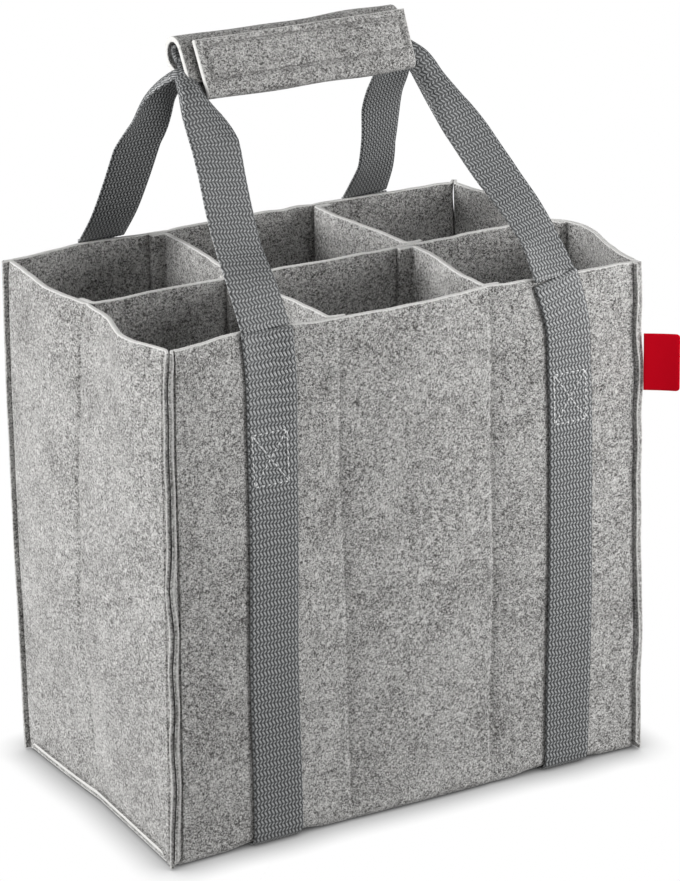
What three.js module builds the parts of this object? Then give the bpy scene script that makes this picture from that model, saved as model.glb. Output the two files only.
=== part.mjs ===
// Six-bottle carrier in felt, with two webbing handles held together by a wrapped felt grip.
// Millimetres. X runs to the right along the long front, Y away from the viewer, Z up.
import * as THREE from "three";

// Body
const WIDTH = 240;
const DEPTH = 160;
const HEIGHT = 240;
const FELT = 3;
const GAP = 0.3;
const FOLD_INNER_RADIUS = 1.5;
const LEFT_CELL = 81;
const RIGHT_CELL = 79;
const DIVIDER_FLANGE = 8;
const STITCH_DIP = 0.8;
const STITCH_HALF_WIDTH = 2.5;
const WALL_STEPS = 8;
const FOLD_STEPS = 4;
const BASE_STEPS = 3;

// Seams whose raw edges stand outside
const SEAM_ALLOWANCE = 8;
const BASE_SEAM_ALLOWANCE = 5;
const SEAM_ANGLE = Math.PI / 4;

// How the empty felt box leans and swells, largest at the rim
const SIDE_BOW = 6;
const SIDE_BELLY = 5;
const FRONT_LEFT_DIP = 7;
const REAR_LEFT_BOW = 4;
const BOW_POWER = 4;

// Webbing
const WEBBING_WIDTH = 24;
const WEBBING = 1.5;
const FRONT_LEFT_STRAP_INSET = 47;
const FRONT_RIGHT_STRAP_INSET = 40;
const REAR_STRAP_INSET = 49;

// Box stitches that hold the webbing to the felt
const STITCH_BOX_WIDTH = 17;
const STITCH_BOX_HEIGHT = 23.5;
const STITCH_BOX_DROP = 45;
const THREAD_WIDTH = 0.9;
const THREAD = 0.5;

// Grip
const GRIP_LEFT_INSET = 54;
const GRIP_RIGHT_INSET = 73;
const FLAP_LEFT_INSET = 5;
const GRIP_FRONT = 12;
const GRIP_RISE = 87.6;
const GRIP_ANGLE = 33;
const GRIP_FELT = 2.5;
const FLAP_HEIGHT = 27;
const CAP_RADIUS = 6.75;
const CAP_HEIGHT = 25.5;
const TURN_RADIUS = 2.25;
const CAP_STEPS = 14;
const TURN_STEPS = 7;
const INNER_FLAP_LIFT = 9.5;
const TAPE = 0.8;
const TAPE_HEIGHT = 15;
const TAPE_INSET = 5;
const TAPE_LIFT = 10;
const FLAP_STITCH_DROP = 3;
const FLAP_STITCH_HEIGHT = 16;
const FLAP_STITCH_INSET = 3.5;
const BUNDLE_RADIUS = 2.9;
const BUNDLE_SIDES = 10;
const FRONT_BUNCH_HEIGHT = 18;
const REAR_BUNCH_HEIGHT = 24.8;
const REAR_BUNCH_SHIFT = 0.6;

// Free handle legs, from the grip down. Each point is given in shares:
// along from the grip's end to the foot, out to the wall, and up from the rim to the grip
const LEG_STEPS = 18;
const LEG_SPREAD_START = 0.1;
const LEG_SPREAD_END = 0.36;
const LEG_CLEARANCE = 2.5;
const LEG_FIRST_BEND = 0.6;
const LEG_POINTS = [
  { along: 0.1, out: 0.2, up: 0.96 },
  { along: 0.4, out: 0.45, up: 0.63 },
  { along: 0.75, out: 0.72, up: 0.31 },
  { along: 1, out: 0.98, up: 0.057 },
];

// Side tab
const TAB_LENGTH = 18;
const TAB_HEIGHT = 26.5;
const TAB = 1.2;
const TAB_DROP = 47;
const TAB_ANGLE = -40;
const TAB_STEPS = 6;

// Sizes worked out from the ones above
const BASE_Z = WEBBING + GAP;
const HALF_WIDTH = WIDTH / 2 - FELT;
const HALF_DEPTH = DEPTH / 2 - FELT;
const LEFT_X = -WIDTH / 2;
const RIGHT_X = WIDTH / 2;
const FIRST_DIVIDER_X = LEFT_X + LEFT_CELL;
const SECOND_DIVIDER_X = RIGHT_X - RIGHT_CELL;
const FRONT_LEFT_STRAP_X = LEFT_X + FRONT_LEFT_STRAP_INSET;
const FRONT_RIGHT_STRAP_X = RIGHT_X - FRONT_RIGHT_STRAP_INSET;
const REAR_LEFT_STRAP_X = LEFT_X + REAR_STRAP_INSET;
const REAR_RIGHT_STRAP_X = RIGHT_X - REAR_STRAP_INSET;
const GRIP_LEFT_X = LEFT_X + GRIP_LEFT_INSET;
const GRIP_RIGHT_X = RIGHT_X - GRIP_RIGHT_INSET;
const RETREAT = GAP * Math.SQRT1_2;
const SIDE_SEAM_Z = BASE_Z + FELT + GAP;
const CORNER_Z = BASE_Z + FELT + FOLD_INNER_RADIUS + GAP;
const GRIP_BOTTOM_Z = HEIGHT + GRIP_RISE;
const UP = new THREE.Vector3(0, 0, 1);
const RADIANS = Math.PI / 180;

// Colours and finishes
const FELT_LOOK = { color: 0x9b9a98, roughness: 0.95, metalness: 0 };
const WEBBING_LOOK = { color: 0x77797a, roughness: 0.8, metalness: 0 };
const THREAD_LOOK = { color: 0xa9abab, roughness: 0.6, metalness: 0 };
const TAPE_LOOK = { color: 0x8a8c8d, roughness: 0.9, metalness: 0 };
const TAB_LOOK = { color: 0xbe0020, roughness: 0.7, metalness: 0 };

const carrier = new THREE.Group();

function add(name, geometry, look) {
  const mesh = new THREE.Mesh(geometry, new THREE.MeshStandardMaterial(look));
  mesh.name = name;
  carrier.add(mesh);
}

function sorted(values) {
  const rising = [...values].sort((a, b) => a - b);
  return rising.filter((value, i) => i === 0 || value - rising[i - 1] > GAP);
}

function between(from, to, steps) {
  return Array.from({ length: steps + 1 }, (_, i) => from + ((to - from) * i) / steps);
}

// The whole soft box is built straight and then pushed to the shape it stands in.
// A half side bows out between its corner and the divider, and the front left cell is pressed in.
function slumped(point) {
  const level = THREE.MathUtils.clamp(point.z / HEIGHT, 0, 1);
  const rim = level ** BOW_POWER;
  const belly = Math.sin(Math.PI * level);
  const across = THREE.MathUtils.clamp(Math.abs(point.y) / HALF_DEPTH, 0, 1);
  const reach = THREE.MathUtils.clamp(Math.abs(point.x) / HALF_WIDTH, 0, 1) ** BOW_POWER;
  const sideways = SIDE_BOW * rim * Math.sin(Math.PI * across) ** 2
    + SIDE_BELLY * belly * Math.cos((Math.PI / 2) * across) ** 2;
  const moved = point.clone();
  moved.x += Math.sign(point.x) * reach * sideways;
  const cell = (point.x + HALF_WIDTH) / (FIRST_DIVIDER_X + HALF_WIDTH);
  if (cell > 0 && cell < 1) {
    const depth = THREE.MathUtils.clamp(Math.abs(point.y) / HALF_DEPTH, 0, 1) ** BOW_POWER;
    const swing = point.y < 0 ? FRONT_LEFT_DIP : REAR_LEFT_BOW;
    moved.y += swing * rim * depth * Math.sin(Math.PI * cell) ** 2;
  }
  return moved;
}

function signedVolume(points, faces) {
  let volume = 0;
  for (let i = 0; i < faces.length; i += 3) {
    const [a, b, c] = [points[faces[i]], points[faces[i + 1]], points[faces[i + 2]]];
    volume += a.dot(b.clone().cross(c)) / 6;
  }
  return volume;
}

// Moves every corner of a flat stitch to the curved face that it lies on.
function laidOn(geometry, place) {
  const position = geometry.attributes.position;
  const corner = new THREE.Vector3();
  for (let i = 0; i < position.count; i += 1) {
    const spot = place(corner.fromBufferAttribute(position, i));
    position.setXYZ(i, spot.x, spot.y, spot.z);
  }
  geometry.computeVertexNormals();
  return geometry;
}

// A closed slab: place(i, j, outer) gives the point of each face of the sheet on a grid.
function slab(columns, rows, place) {
  const points = [];
  const faces = [];
  const index = (i, j, side) => (side * columns + i) * rows + j;
  for (const side of [0, 1]) {
    for (let i = 0; i < columns; i += 1) {
      for (let j = 0; j < rows; j += 1) points.push(place(i, j, side === 1));
    }
  }
  const quad = (a, b, c, d) => faces.push(a, b, c, a, c, d);
  for (let i = 0; i < columns - 1; i += 1) {
    for (let j = 0; j < rows - 1; j += 1) {
      quad(index(i, j, 1), index(i + 1, j, 1), index(i + 1, j + 1, 1), index(i, j + 1, 1));
      quad(index(i, j, 0), index(i, j + 1, 0), index(i + 1, j + 1, 0), index(i + 1, j, 0));
    }
  }
  const [lastColumn, lastRow] = [columns - 1, rows - 1];
  for (let i = 0; i < lastColumn; i += 1) {
    const next = i + 1;
    quad(index(i, 0, 0), index(next, 0, 0), index(next, 0, 1), index(i, 0, 1));
    quad(index(next, lastRow, 0), index(i, lastRow, 0), index(i, lastRow, 1), index(next, lastRow, 1));
  }
  for (let j = 0; j < lastRow; j += 1) {
    const next = j + 1;
    quad(index(0, next, 0), index(0, j, 0), index(0, j, 1), index(0, next, 1));
    const [low, high] = [0, 1].map((side) => [index(lastColumn, j, side), index(lastColumn, next, side)]);
    quad(low[0], low[1], high[1], high[0]);
  }
  if (signedVolume(points, faces) < 0) {
    for (let i = 0; i < faces.length; i += 3) [faces[i], faces[i + 1]] = [faces[i + 1], faces[i]];
  }
  const geometry = new THREE.BufferGeometry().setFromPoints(points);
  geometry.setIndex(faces);
  geometry.computeVertexNormals();
  return geometry;
}

// Lines that every upright sheet shares, so that neighbours bend at the same places
const LEVELS = between(CORNER_Z, HEIGHT, WALL_STEPS);
const STRAP_LINES = [FRONT_LEFT_STRAP_X, FRONT_RIGHT_STRAP_X, REAR_LEFT_STRAP_X, REAR_RIGHT_STRAP_X]
  .flatMap((x) => [x - WEBBING_WIDTH / 2, x, x + WEBBING_WIDTH / 2]);
const DIVIDER_LINES = [FIRST_DIVIDER_X, SECOND_DIVIDER_X];
const DIVIDER_EDGES = DIVIDER_LINES.flatMap((x) => [
  x - STITCH_HALF_WIDTH, x, x + STITCH_HALF_WIDTH, x - DIVIDER_FLANGE, x + DIVIDER_FLANGE]);

// One felt strip is the front, the base and the rear: the path is its inner face, rear rim first.
function wrapPath() {
  const inner = { y: HALF_DEPTH, z: BASE_Z + FELT };
  const wall = [...LEVELS].reverse().map((z) => ({ y: inner.y, z, turn: 0 }));
  wall[wall.length - 1].z = inner.z + FOLD_INNER_RADIUS;
  const bend = between(0, Math.PI / 2, FOLD_STEPS).slice(1).map((angle) => ({
    y: inner.y - FOLD_INNER_RADIUS * (1 - Math.cos(angle)),
    z: inner.z + FOLD_INNER_RADIUS * (1 - Math.sin(angle)),
    turn: angle,
  }));
  const rear = [...wall, ...bend];
  const base = between(inner.y - FOLD_INNER_RADIUS, 0, BASE_STEPS).slice(1);
  const half = [...rear, ...base.map((y) => ({ y, z: inner.z, turn: Math.PI / 2 }))];
  const front = half.slice(0, -1).reverse().map((p) => ({ y: -p.y, z: p.z, turn: Math.PI - p.turn }));
  return [...half, ...front];
}

// The strip's side edges turn outwards: by the seam angle on the walls and not at all on the base.
function bodyWrap() {
  const path = wrapPath();
  const bendX = HALF_WIDTH - RETREAT;
  const lines = sorted([-bendX, ...STRAP_LINES, ...DIVIDER_EDGES, 0, bendX]);
  const columns = [
    { x: -bendX, flange: 1 },
    ...lines.map((x) => ({ x, flange: 0 })),
    { x: bendX, flange: 1 },
  ];
  return slab(columns.length, path.length, (i, j, outer) => {
    const { y, z, turn } = path[j];
    const { x, flange } = columns[i];
    const level = Math.sin(turn);
    const angle = SEAM_ANGLE * (1 - level);
    const allowance = THREE.MathUtils.lerp(SEAM_ALLOWANCE, BASE_SEAM_ALLOWANCE, level) * flange;
    const out = new THREE.Vector3(0, Math.cos(turn), -Math.sin(turn));
    const side = new THREE.Vector3(Math.sign(x), 0, 0);
    const point = new THREE.Vector3(x, y, z);
    point.addScaledVector(side, allowance * Math.cos(angle));
    point.addScaledVector(out, allowance * Math.sin(angle));
    if (outer) {
      const upright = level < 1 && DIVIDER_LINES.includes(x);
      const wall = upright ? FELT - STITCH_DIP : FELT;
      if (flange) {
        point.addScaledVector(out, wall * Math.cos(angle)).addScaledVector(side, -wall * Math.sin(angle));
      } else {
        const mitre = Math.abs(x) === bendX ? Math.tan(angle / 2) : 0;
        point.addScaledVector(out, wall).addScaledVector(side, -wall * mitre);
      }
    }
    return slumped(point);
  });
}

// A side panel stands between the strip's edges; its own edges turn out the same way.
// Its lower edge turns out flat and lies on the edge of the base.
function sidePanel(side) {
  const bendY = HALF_DEPTH - RETREAT;
  const footY = HALF_DEPTH - FOLD_INNER_RADIUS - FELT;
  const flangeY = DIVIDER_FLANGE + FELT;
  const inside = sorted([
    -flangeY, -STITCH_HALF_WIDTH, 0, STITCH_HALF_WIDTH, flangeY,
    ...between(-footY, footY, WALL_STEPS),
  ]);
  const columns = [
    { y: -bendY, flange: 1 },
    ...[-bendY, ...inside, bendY].map((y) => ({ y, flange: 0 })),
    { y: bendY, flange: 1 },
  ];
  const rows = [
    { foot: 1, z: SIDE_SEAM_Z },
    { foot: 0, z: SIDE_SEAM_Z },
    ...LEVELS.slice(1).map((z) => ({ foot: 0, z })),
  ];
  return slab(columns.length, rows.length, (i, j, outer) => {
    const { y, flange } = columns[i];
    const { foot, z } = rows[j];
    const corner = Math.abs(y) > footY;
    const lowest = j < 2;
    const out = new THREE.Vector3(side, 0, 0);
    const along = new THREE.Vector3(0, Math.sign(y), 0);
    const low = corner ? CORNER_Z + FELT * (1 - foot) : SIDE_SEAM_Z;
    const point = new THREE.Vector3(side * HALF_WIDTH, y, lowest ? low : z);
    if (foot && !corner) point.x += side * BASE_SEAM_ALLOWANCE;
    if (flange) {
      const reach = SEAM_ALLOWANCE * Math.SQRT1_2;
      point.addScaledVector(out, reach).addScaledVector(along, reach);
    }
    if (outer) {
      const wall = y === 0 && !lowest ? FELT - STITCH_DIP : FELT;
      if (flange) {
        point.addScaledVector(out, wall * Math.cos(SEAM_ANGLE));
        point.addScaledVector(along, -wall * Math.sin(SEAM_ANGLE));
      } else if (Math.abs(y) === bendY) {
        point.addScaledVector(out, wall).addScaledVector(along, -wall * Math.tan(SEAM_ANGLE / 2));
      } else if (foot) {
        point.addScaledVector(UP, wall);
      } else {
        point.addScaledVector(out, wall).addScaledVector(UP, lowest ? wall : 0);
      }
    }
    return slumped(point);
  });
}

// An upright felt strip with folded ends, drawn as its middle line seen from above
function foldedStrip(corners) {
  const offset = (i, outer) => {
    const here = corners[i];
    const before = corners[Math.max(i - 1, 0)];
    const after = corners[Math.min(i + 1, corners.length - 1)];
    const into = (i === 0 ? after.clone().sub(here) : here.clone().sub(before)).normalize();
    const last = i === corners.length - 1;
    const away = (last ? here.clone().sub(before) : after.clone().sub(here)).normalize();
    const middle = into.add(away).normalize();
    const half = FELT / 2 / Math.abs(middle.dot(away));
    const across = new THREE.Vector2(-middle.y, middle.x).multiplyScalar(outer ? half : -half);
    return here.clone().add(across);
  };
  return slab(corners.length, LEVELS.length, (i, j, outer) => {
    const p = offset(i, outer);
    return slumped(new THREE.Vector3(p.x, p.y, LEVELS[j]));
  });
}

function longDivider() {
  const endX = HALF_WIDTH - GAP - FELT / 2;
  const fold = DIVIDER_FLANGE + FELT / 2;
  const middle = sorted([-endX, FIRST_DIVIDER_X, 0, SECOND_DIVIDER_X, endX]);
  return foldedStrip([
    new THREE.Vector2(-endX, fold),
    new THREE.Vector2(-endX, fold / 2),
    ...middle.map((x) => new THREE.Vector2(x, 0)),
    new THREE.Vector2(endX, -fold / 2),
    new THREE.Vector2(endX, -fold),
  ]);
}

// A cross divider has one flange sewn to the outer wall and one sewn to the long divider.
function crossDivider(x, face, wallFold, middleFold) {
  const wallY = face * (HALF_DEPTH - GAP - FELT / 2);
  const middleY = face * (FELT + GAP);
  return foldedStrip([
    new THREE.Vector2(x + wallFold * DIVIDER_FLANGE, wallY),
    new THREE.Vector2(x, wallY),
    new THREE.Vector2(x, (wallY + middleY) / 2),
    new THREE.Vector2(x, middleY),
    new THREE.Vector2(x + middleFold * DIVIDER_FLANGE, middleY),
  ]);
}

// Sewn webbing on an outer wall, from its turn under the base up to the rim
function sewnWebbing(x, face) {
  const turn = FOLD_INNER_RADIUS + FELT + GAP;
  const innerY = HALF_DEPTH + FELT + GAP;
  const centre = { y: innerY - turn, z: BASE_Z - GAP + turn };
  const bend = between(Math.PI / 2, 0, FOLD_STEPS).map((angle) => ({
    y: centre.y + turn * Math.cos(angle), z: centre.z - turn * Math.sin(angle), turn: angle,
  }));
  const wall = LEVELS.slice(1).map((z) => ({ y: innerY, z, turn: 0 }));
  const path = [...bend, ...wall];
  const lines = [x - WEBBING_WIDTH / 2, x, x + WEBBING_WIDTH / 2];
  return slab(lines.length, path.length, (i, j, outer) => {
    const p = path[j];
    const lift = outer ? WEBBING : 0;
    return slumped(new THREE.Vector3(
      lines[i],
      face * (p.y + lift * Math.cos(p.turn)),
      p.z - lift * Math.sin(p.turn),
    ));
  });
}

// Webbing under the base, which the carrier stands on
function baseWebbing(frontX, rearX) {
  const endY = HALF_DEPTH - FOLD_INNER_RADIUS - GAP;
  const ends = [{ x: frontX, y: -endY }, { x: rearX, y: endY }];
  return slab(2, 2, (i, j, outer) => new THREE.Vector3(
    ends[j].x + (i - 0.5) * WEBBING_WIDTH, ends[j].y, outer ? 0 : WEBBING));
}

// Box stitch with its cross, lying on the webbing
function boxStitch(x, face) {
  const top = HEIGHT - STITCH_BOX_DROP;
  const [w, h] = [STITCH_BOX_WIDTH / 2, STITCH_BOX_HEIGHT / 2];
  const outline = (corners) => corners.map(([p, q]) => new THREE.Vector2(p, q));
  const frame = new THREE.Shape(outline([[-w, -h], [w, -h], [w, h], [-w, h]]));
  const slope = Math.hypot(w, h);
  const [a, b] = [w - THREAD_WIDTH, h - THREAD_WIDTH];
  const shiftX = (THREAD_WIDTH / 2) * (slope / h);
  const shiftY = (THREAD_WIDTH / 2) * (slope / w);
  const holes = [
    [[-a + shiftX, b], [a - shiftX, b], [0, shiftY]],
    [[-a + shiftX, -b], [0, -shiftY], [a - shiftX, -b]],
    [[-a, -b + shiftY], [-shiftX, 0], [-a, b - shiftY]],
    [[a, -b + shiftY], [a, b - shiftY], [shiftX, 0]],
  ];
  frame.holes = holes.map((hole) => new THREE.Path(outline(hole)));
  const geometry = new THREE.ExtrudeGeometry(frame, { depth: THREAD, bevelEnabled: false });
  const skin = HALF_DEPTH + FELT + GAP + WEBBING + GAP;
  return laidOn(geometry, (p) => slumped(
    new THREE.Vector3(x - face * p.x, face * (skin + p.z), top - h + p.y)));
}

// The grip's section is drawn in its own plane: n points out of its front face, t up along it.
const LEAN = GRIP_ANGLE * RADIANS;
const FLAP_LEFT_X = GRIP_LEFT_X + FLAP_LEFT_INSET;
const FLAP_RIGHT_X = GRIP_RIGHT_X - GAP;
const INNER_N = -(GRIP_FELT + GAP + TAPE + GAP + TAPE + GAP);
const CAP = new THREE.Vector2(INNER_N - GRIP_FELT / 2 - CAP_RADIUS, CAP_HEIGHT);
const TURN = new THREE.Vector2(-GRIP_FELT / 2 - TURN_RADIUS, GRIP_FELT / 2 + TURN_RADIUS - GAP);

function gripPoint(x, n, t) {
  return new THREE.Vector3(
    x,
    -GRIP_FRONT - n * Math.cos(LEAN) + t * Math.sin(LEAN),
    GRIP_BOTTOM_Z + n * Math.sin(LEAN) + t * Math.cos(LEAN),
  );
}

// A sheet along the grip whose section is a line of middle points with normals
function gripSheet(fromX, toX, thickness, section) {
  return slab(2, section.length, (i, j, outer) => {
    const { n, t, nn, nt } = section[j];
    const half = (outer ? thickness : -thickness) / 2;
    return gripPoint(i === 0 ? fromX : toX, n + nn * half, t + nt * half);
  });
}

function flatSection(n, fromT, toT) {
  return [fromT, toT].map((t) => ({ n, t, nn: 1, nt: 0 }));
}

// Cap over the top, back wall and the turn at the bottom, up to the line where the flap bends
function sleeveSection() {
  const centres = CAP.clone().sub(TURN);
  const along = centres.clone().normalize();
  const sink = (CAP_RADIUS - TURN_RADIUS) / centres.length();
  const back = new THREE.Vector2(-along.y, along.x);
  const normal = along.clone().multiplyScalar(-sink).addScaledVector(back, Math.sqrt(1 - sink * sink));
  const backAngle = Math.atan2(normal.y, normal.x) + 2 * Math.PI;
  const arc = (centre, radius, from, to, steps) => between(from, to, steps).map((angle) => ({
    n: centre.x + radius * Math.cos(angle),
    t: centre.y + radius * Math.sin(angle),
    nn: Math.cos(angle),
    nt: Math.sin(angle),
  }));
  return [
    ...arc(CAP, CAP_RADIUS, 0, backAngle, CAP_STEPS),
    ...arc(TURN, TURN_RADIUS, backAngle, 2 * Math.PI, TURN_STEPS),
  ];
}

// A handle's webbing is bunched where it runs through the grip.
function bunchedRun(n, t) {
  const centre = gripPoint(GRIP_LEFT_X, n, t);
  const length = GRIP_RIGHT_X - GRIP_LEFT_X;
  const geometry = new THREE.CylinderGeometry(BUNDLE_RADIUS, BUNDLE_RADIUS, length, BUNDLE_SIDES);
  geometry.rotateZ(-Math.PI / 2);
  geometry.translate((GRIP_LEFT_X + GRIP_RIGHT_X) / 2, centre.y, centre.z);
  return geometry;
}

// A free handle leg is a ribbon from beside the end of its bunch to the top of its sewn webbing.
// It widens from the bunch to the full webbing, and its curve is named from the top down.
function handleLeg(strap, bunch) {
  const side = Math.sign(strap.x);
  const end = side < 0 ? GRIP_LEFT_X : GRIP_RIGHT_X;
  const start = gripPoint(end + side * (GAP + BUNDLE_RADIUS), bunch.n, bunch.t);
  const foot = slumped(new THREE.Vector3(
    strap.x, strap.face * (HALF_DEPTH + FELT + GAP + WEBBING / 2), HEIGHT));
  foot.z += GAP;
  const clearX = start.x + side * LEG_CLEARANCE;
  const route = LEG_POINTS.map(({ along, out, up }) => new THREE.Vector3(
    THREE.MathUtils.lerp(clearX, foot.x, along), foot.y * out, foot.z + up * GRIP_RISE));
  const firstBend = THREE.MathUtils.lerp(start.y, route[0].y, LEG_FIRST_BEND);
  const curve = new THREE.CatmullRomCurve3([
    start.clone().addScaledVector(UP, BUNDLE_RADIUS),
    new THREE.Vector3(clearX, firstBend, start.z - BUNDLE_RADIUS),
    ...route,
    foot,
  ], false, "centripetal");
  return slab(3, LEG_STEPS + 1, (i, j, outer) => {
    const u = j / LEG_STEPS;
    const spread = THREE.MathUtils.smoothstep(u, LEG_SPREAD_START, LEG_SPREAD_END);
    const width = THREE.MathUtils.lerp(2 * BUNDLE_RADIUS, WEBBING_WIDTH, spread);
    const thickness = THREE.MathUtils.lerp(2 * WEBBING, WEBBING, spread);
    const forward = j === LEG_STEPS ? UP.clone().negate() : curve.getTangentAt(u);
    const flat = new THREE.Vector3(1, 0, 0).addScaledVector(forward, -forward.x).normalize();
    const across = new THREE.Vector3().crossVectors(forward, flat);
    return curve.getPointAt(u)
      .addScaledVector(flat, (i - 1) * (width / 2))
      .addScaledVector(across, ((outer ? 1 : -1) * thickness) / 2);
  });
}

// Stitched rectangle on the face of the outer flap
function flapStitch() {
  const [left, right] = [FLAP_LEFT_X + FLAP_STITCH_INSET, FLAP_RIGHT_X - FLAP_STITCH_INSET];
  const top = FLAP_HEIGHT - FLAP_STITCH_DROP;
  const low = top - FLAP_STITCH_HEIGHT;
  const ring = (inset) => [[left + inset, low + inset], [right - inset, low + inset],
    [right - inset, top - inset], [left + inset, top - inset]].map(([a, b]) => new THREE.Vector2(a, b));
  const frame = new THREE.Shape(ring(0));
  frame.holes.push(new THREE.Path(ring(THREAD_WIDTH)));
  const geometry = new THREE.ExtrudeGeometry(frame, { depth: THREAD, bevelEnabled: false });
  return laidOn(geometry, (p) => gripPoint(p.x, GAP + p.z, p.y));
}

// The tab leaves the seam at the front right corner; its inner end is round about its bending line.
function sideTab() {
  const outline = new THREE.Shape();
  outline.absarc(0, 0, TAB / 2, Math.PI / 2, (3 * Math.PI) / 2, false);
  outline.lineTo(TAB_LENGTH, -TAB / 2);
  outline.lineTo(TAB_LENGTH, TAB / 2);
  const options = { depth: TAB_HEIGHT, bevelEnabled: false, curveSegments: TAB_STEPS };
  const geometry = new THREE.ExtrudeGeometry(outline, options);
  geometry.rotateZ(TAB_ANGLE * RADIANS);
  const tip = (SEAM_ALLOWANCE + GAP + TAB / 2) * Math.SQRT1_2;
  geometry.translate(HALF_WIDTH + tip, -HALF_DEPTH - tip, HEIGHT - TAB_DROP - TAB_HEIGHT / 2);
  return geometry;
}

// Felt box
add("body_wrap", bodyWrap(), FELT_LOOK);
add("side_panel_left", sidePanel(-1), FELT_LOOK);
add("side_panel_right", sidePanel(1), FELT_LOOK);
add("long_divider", longDivider(), FELT_LOOK);
add("cross_divider_front_left", crossDivider(FIRST_DIVIDER_X, -1, 1, -1), FELT_LOOK);
add("cross_divider_front_right", crossDivider(SECOND_DIVIDER_X, -1, 1, -1), FELT_LOOK);
add("cross_divider_rear_left", crossDivider(FIRST_DIVIDER_X, 1, -1, -1), FELT_LOOK);
add("cross_divider_rear_right", crossDivider(SECOND_DIVIDER_X, 1, 1, 1), FELT_LOOK);

// Sewn webbing
const STRAPS = [
  { name: "front_left", x: FRONT_LEFT_STRAP_X, face: -1 },
  { name: "front_right", x: FRONT_RIGHT_STRAP_X, face: -1 },
  { name: "rear_left", x: REAR_LEFT_STRAP_X, face: 1 },
  { name: "rear_right", x: REAR_RIGHT_STRAP_X, face: 1 },
];
add("base_webbing_left", baseWebbing(FRONT_LEFT_STRAP_X, REAR_LEFT_STRAP_X), WEBBING_LOOK);
add("base_webbing_right", baseWebbing(FRONT_RIGHT_STRAP_X, REAR_RIGHT_STRAP_X), WEBBING_LOOK);
for (const strap of STRAPS) {
  add(`sewn_webbing_${strap.name}`, sewnWebbing(strap.x, strap.face), WEBBING_LOOK);
  add(`box_stitch_${strap.name}`, boxStitch(strap.x, strap.face), THREAD_LOOK);
}

// Free handle legs and the bunched webbing inside the grip
const BUNCHES = [
  { name: "front", n: INNER_N - GRIP_FELT - GAP - BUNDLE_RADIUS, t: FRONT_BUNCH_HEIGHT },
  { name: "rear", n: CAP.x + REAR_BUNCH_SHIFT, t: REAR_BUNCH_HEIGHT },
];
for (const bunch of BUNCHES) {
  add(`handle_run_${bunch.name}`, bunchedRun(bunch.n, bunch.t), WEBBING_LOOK);
  for (const strap of STRAPS.filter(({ name }) => name.startsWith(bunch.name))) {
    add(`handle_leg_${strap.name}`, handleLeg(strap, bunch), WEBBING_LOOK);
  }
}

// Grip
const HINGE_T = TURN.y + GAP;
const INNER_N_MIDDLE = INNER_N - GRIP_FELT / 2;
const tapes = [
  { name: "hook_tape", n: -(GRIP_FELT + GAP + TAPE / 2) },
  { name: "loop_tape", n: -(GRIP_FELT + GAP + TAPE + GAP + TAPE / 2) },
];
add("grip_sleeve", gripSheet(GRIP_LEFT_X, GRIP_RIGHT_X, GRIP_FELT, sleeveSection()), FELT_LOOK);
add("grip_inner_flap", gripSheet(GRIP_LEFT_X, GRIP_RIGHT_X, GRIP_FELT,
  flatSection(INNER_N_MIDDLE, INNER_FLAP_LIFT, CAP.y - GAP)), FELT_LOOK);
add("grip_outer_flap", gripSheet(FLAP_LEFT_X, FLAP_RIGHT_X, GRIP_FELT,
  flatSection(-GRIP_FELT / 2, HINGE_T, FLAP_HEIGHT)), FELT_LOOK);
for (const tape of tapes) {
  add(tape.name, gripSheet(FLAP_LEFT_X + TAPE_INSET, FLAP_RIGHT_X - TAPE_INSET, TAPE,
    flatSection(tape.n, TAPE_LIFT, TAPE_LIFT + TAPE_HEIGHT)), TAPE_LOOK);
}
add("grip_stitch", flapStitch(), THREAD_LOOK);

// Tab
add("side_tab", sideTab(), TAB_LOOK);

// The origin lies under the middle of everything, the tab and the handles included.
const extent = new THREE.Box3().setFromObject(carrier);
const middle = extent.getCenter(new THREE.Vector3());
carrier.position.set(-middle.x, -middle.y, -extent.min.z);

export default carrier;
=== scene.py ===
"""Felt bottle carrier: its looks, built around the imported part.

Lengths are in metres. Places are first worked out from the middle of the felt box, with X to the right
along the long front, Y to the rear and Z up, and are then carried to the part's frame.
"""

from __future__ import annotations

import logging
import math
from dataclasses import dataclass, field, replace
from enum import Enum
from functools import partial

import bpy
import numpy as np
from mathutils import Matrix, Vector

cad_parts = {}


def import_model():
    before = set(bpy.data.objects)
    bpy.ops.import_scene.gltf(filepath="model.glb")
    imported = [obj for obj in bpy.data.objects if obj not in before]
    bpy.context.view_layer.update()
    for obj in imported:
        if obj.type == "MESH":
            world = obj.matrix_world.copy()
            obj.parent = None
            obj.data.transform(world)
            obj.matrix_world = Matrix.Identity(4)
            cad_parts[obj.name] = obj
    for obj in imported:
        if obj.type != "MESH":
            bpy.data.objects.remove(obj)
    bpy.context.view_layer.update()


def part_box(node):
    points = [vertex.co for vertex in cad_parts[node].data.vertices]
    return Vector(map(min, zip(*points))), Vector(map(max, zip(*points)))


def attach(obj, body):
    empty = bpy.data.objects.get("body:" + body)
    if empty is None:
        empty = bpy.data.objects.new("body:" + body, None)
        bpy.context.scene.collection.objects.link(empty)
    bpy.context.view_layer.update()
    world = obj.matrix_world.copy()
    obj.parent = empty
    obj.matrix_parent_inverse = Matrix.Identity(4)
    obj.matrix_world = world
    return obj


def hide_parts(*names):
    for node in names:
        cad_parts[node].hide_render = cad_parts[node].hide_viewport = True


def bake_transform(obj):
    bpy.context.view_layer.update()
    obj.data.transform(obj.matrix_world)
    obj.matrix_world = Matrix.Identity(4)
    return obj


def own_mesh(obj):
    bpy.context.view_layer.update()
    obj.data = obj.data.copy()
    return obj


LOG = logging.getLogger("carrier")
MM = 0.001
# Rounded cut edges: distances of the last places from an edge, and the radius of the rounding.
CUT_STEPS = np.array([0.0, 0.08, 0.25, 0.6]) * MM
CUT_RADIUS = 0.6 * MM
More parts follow.
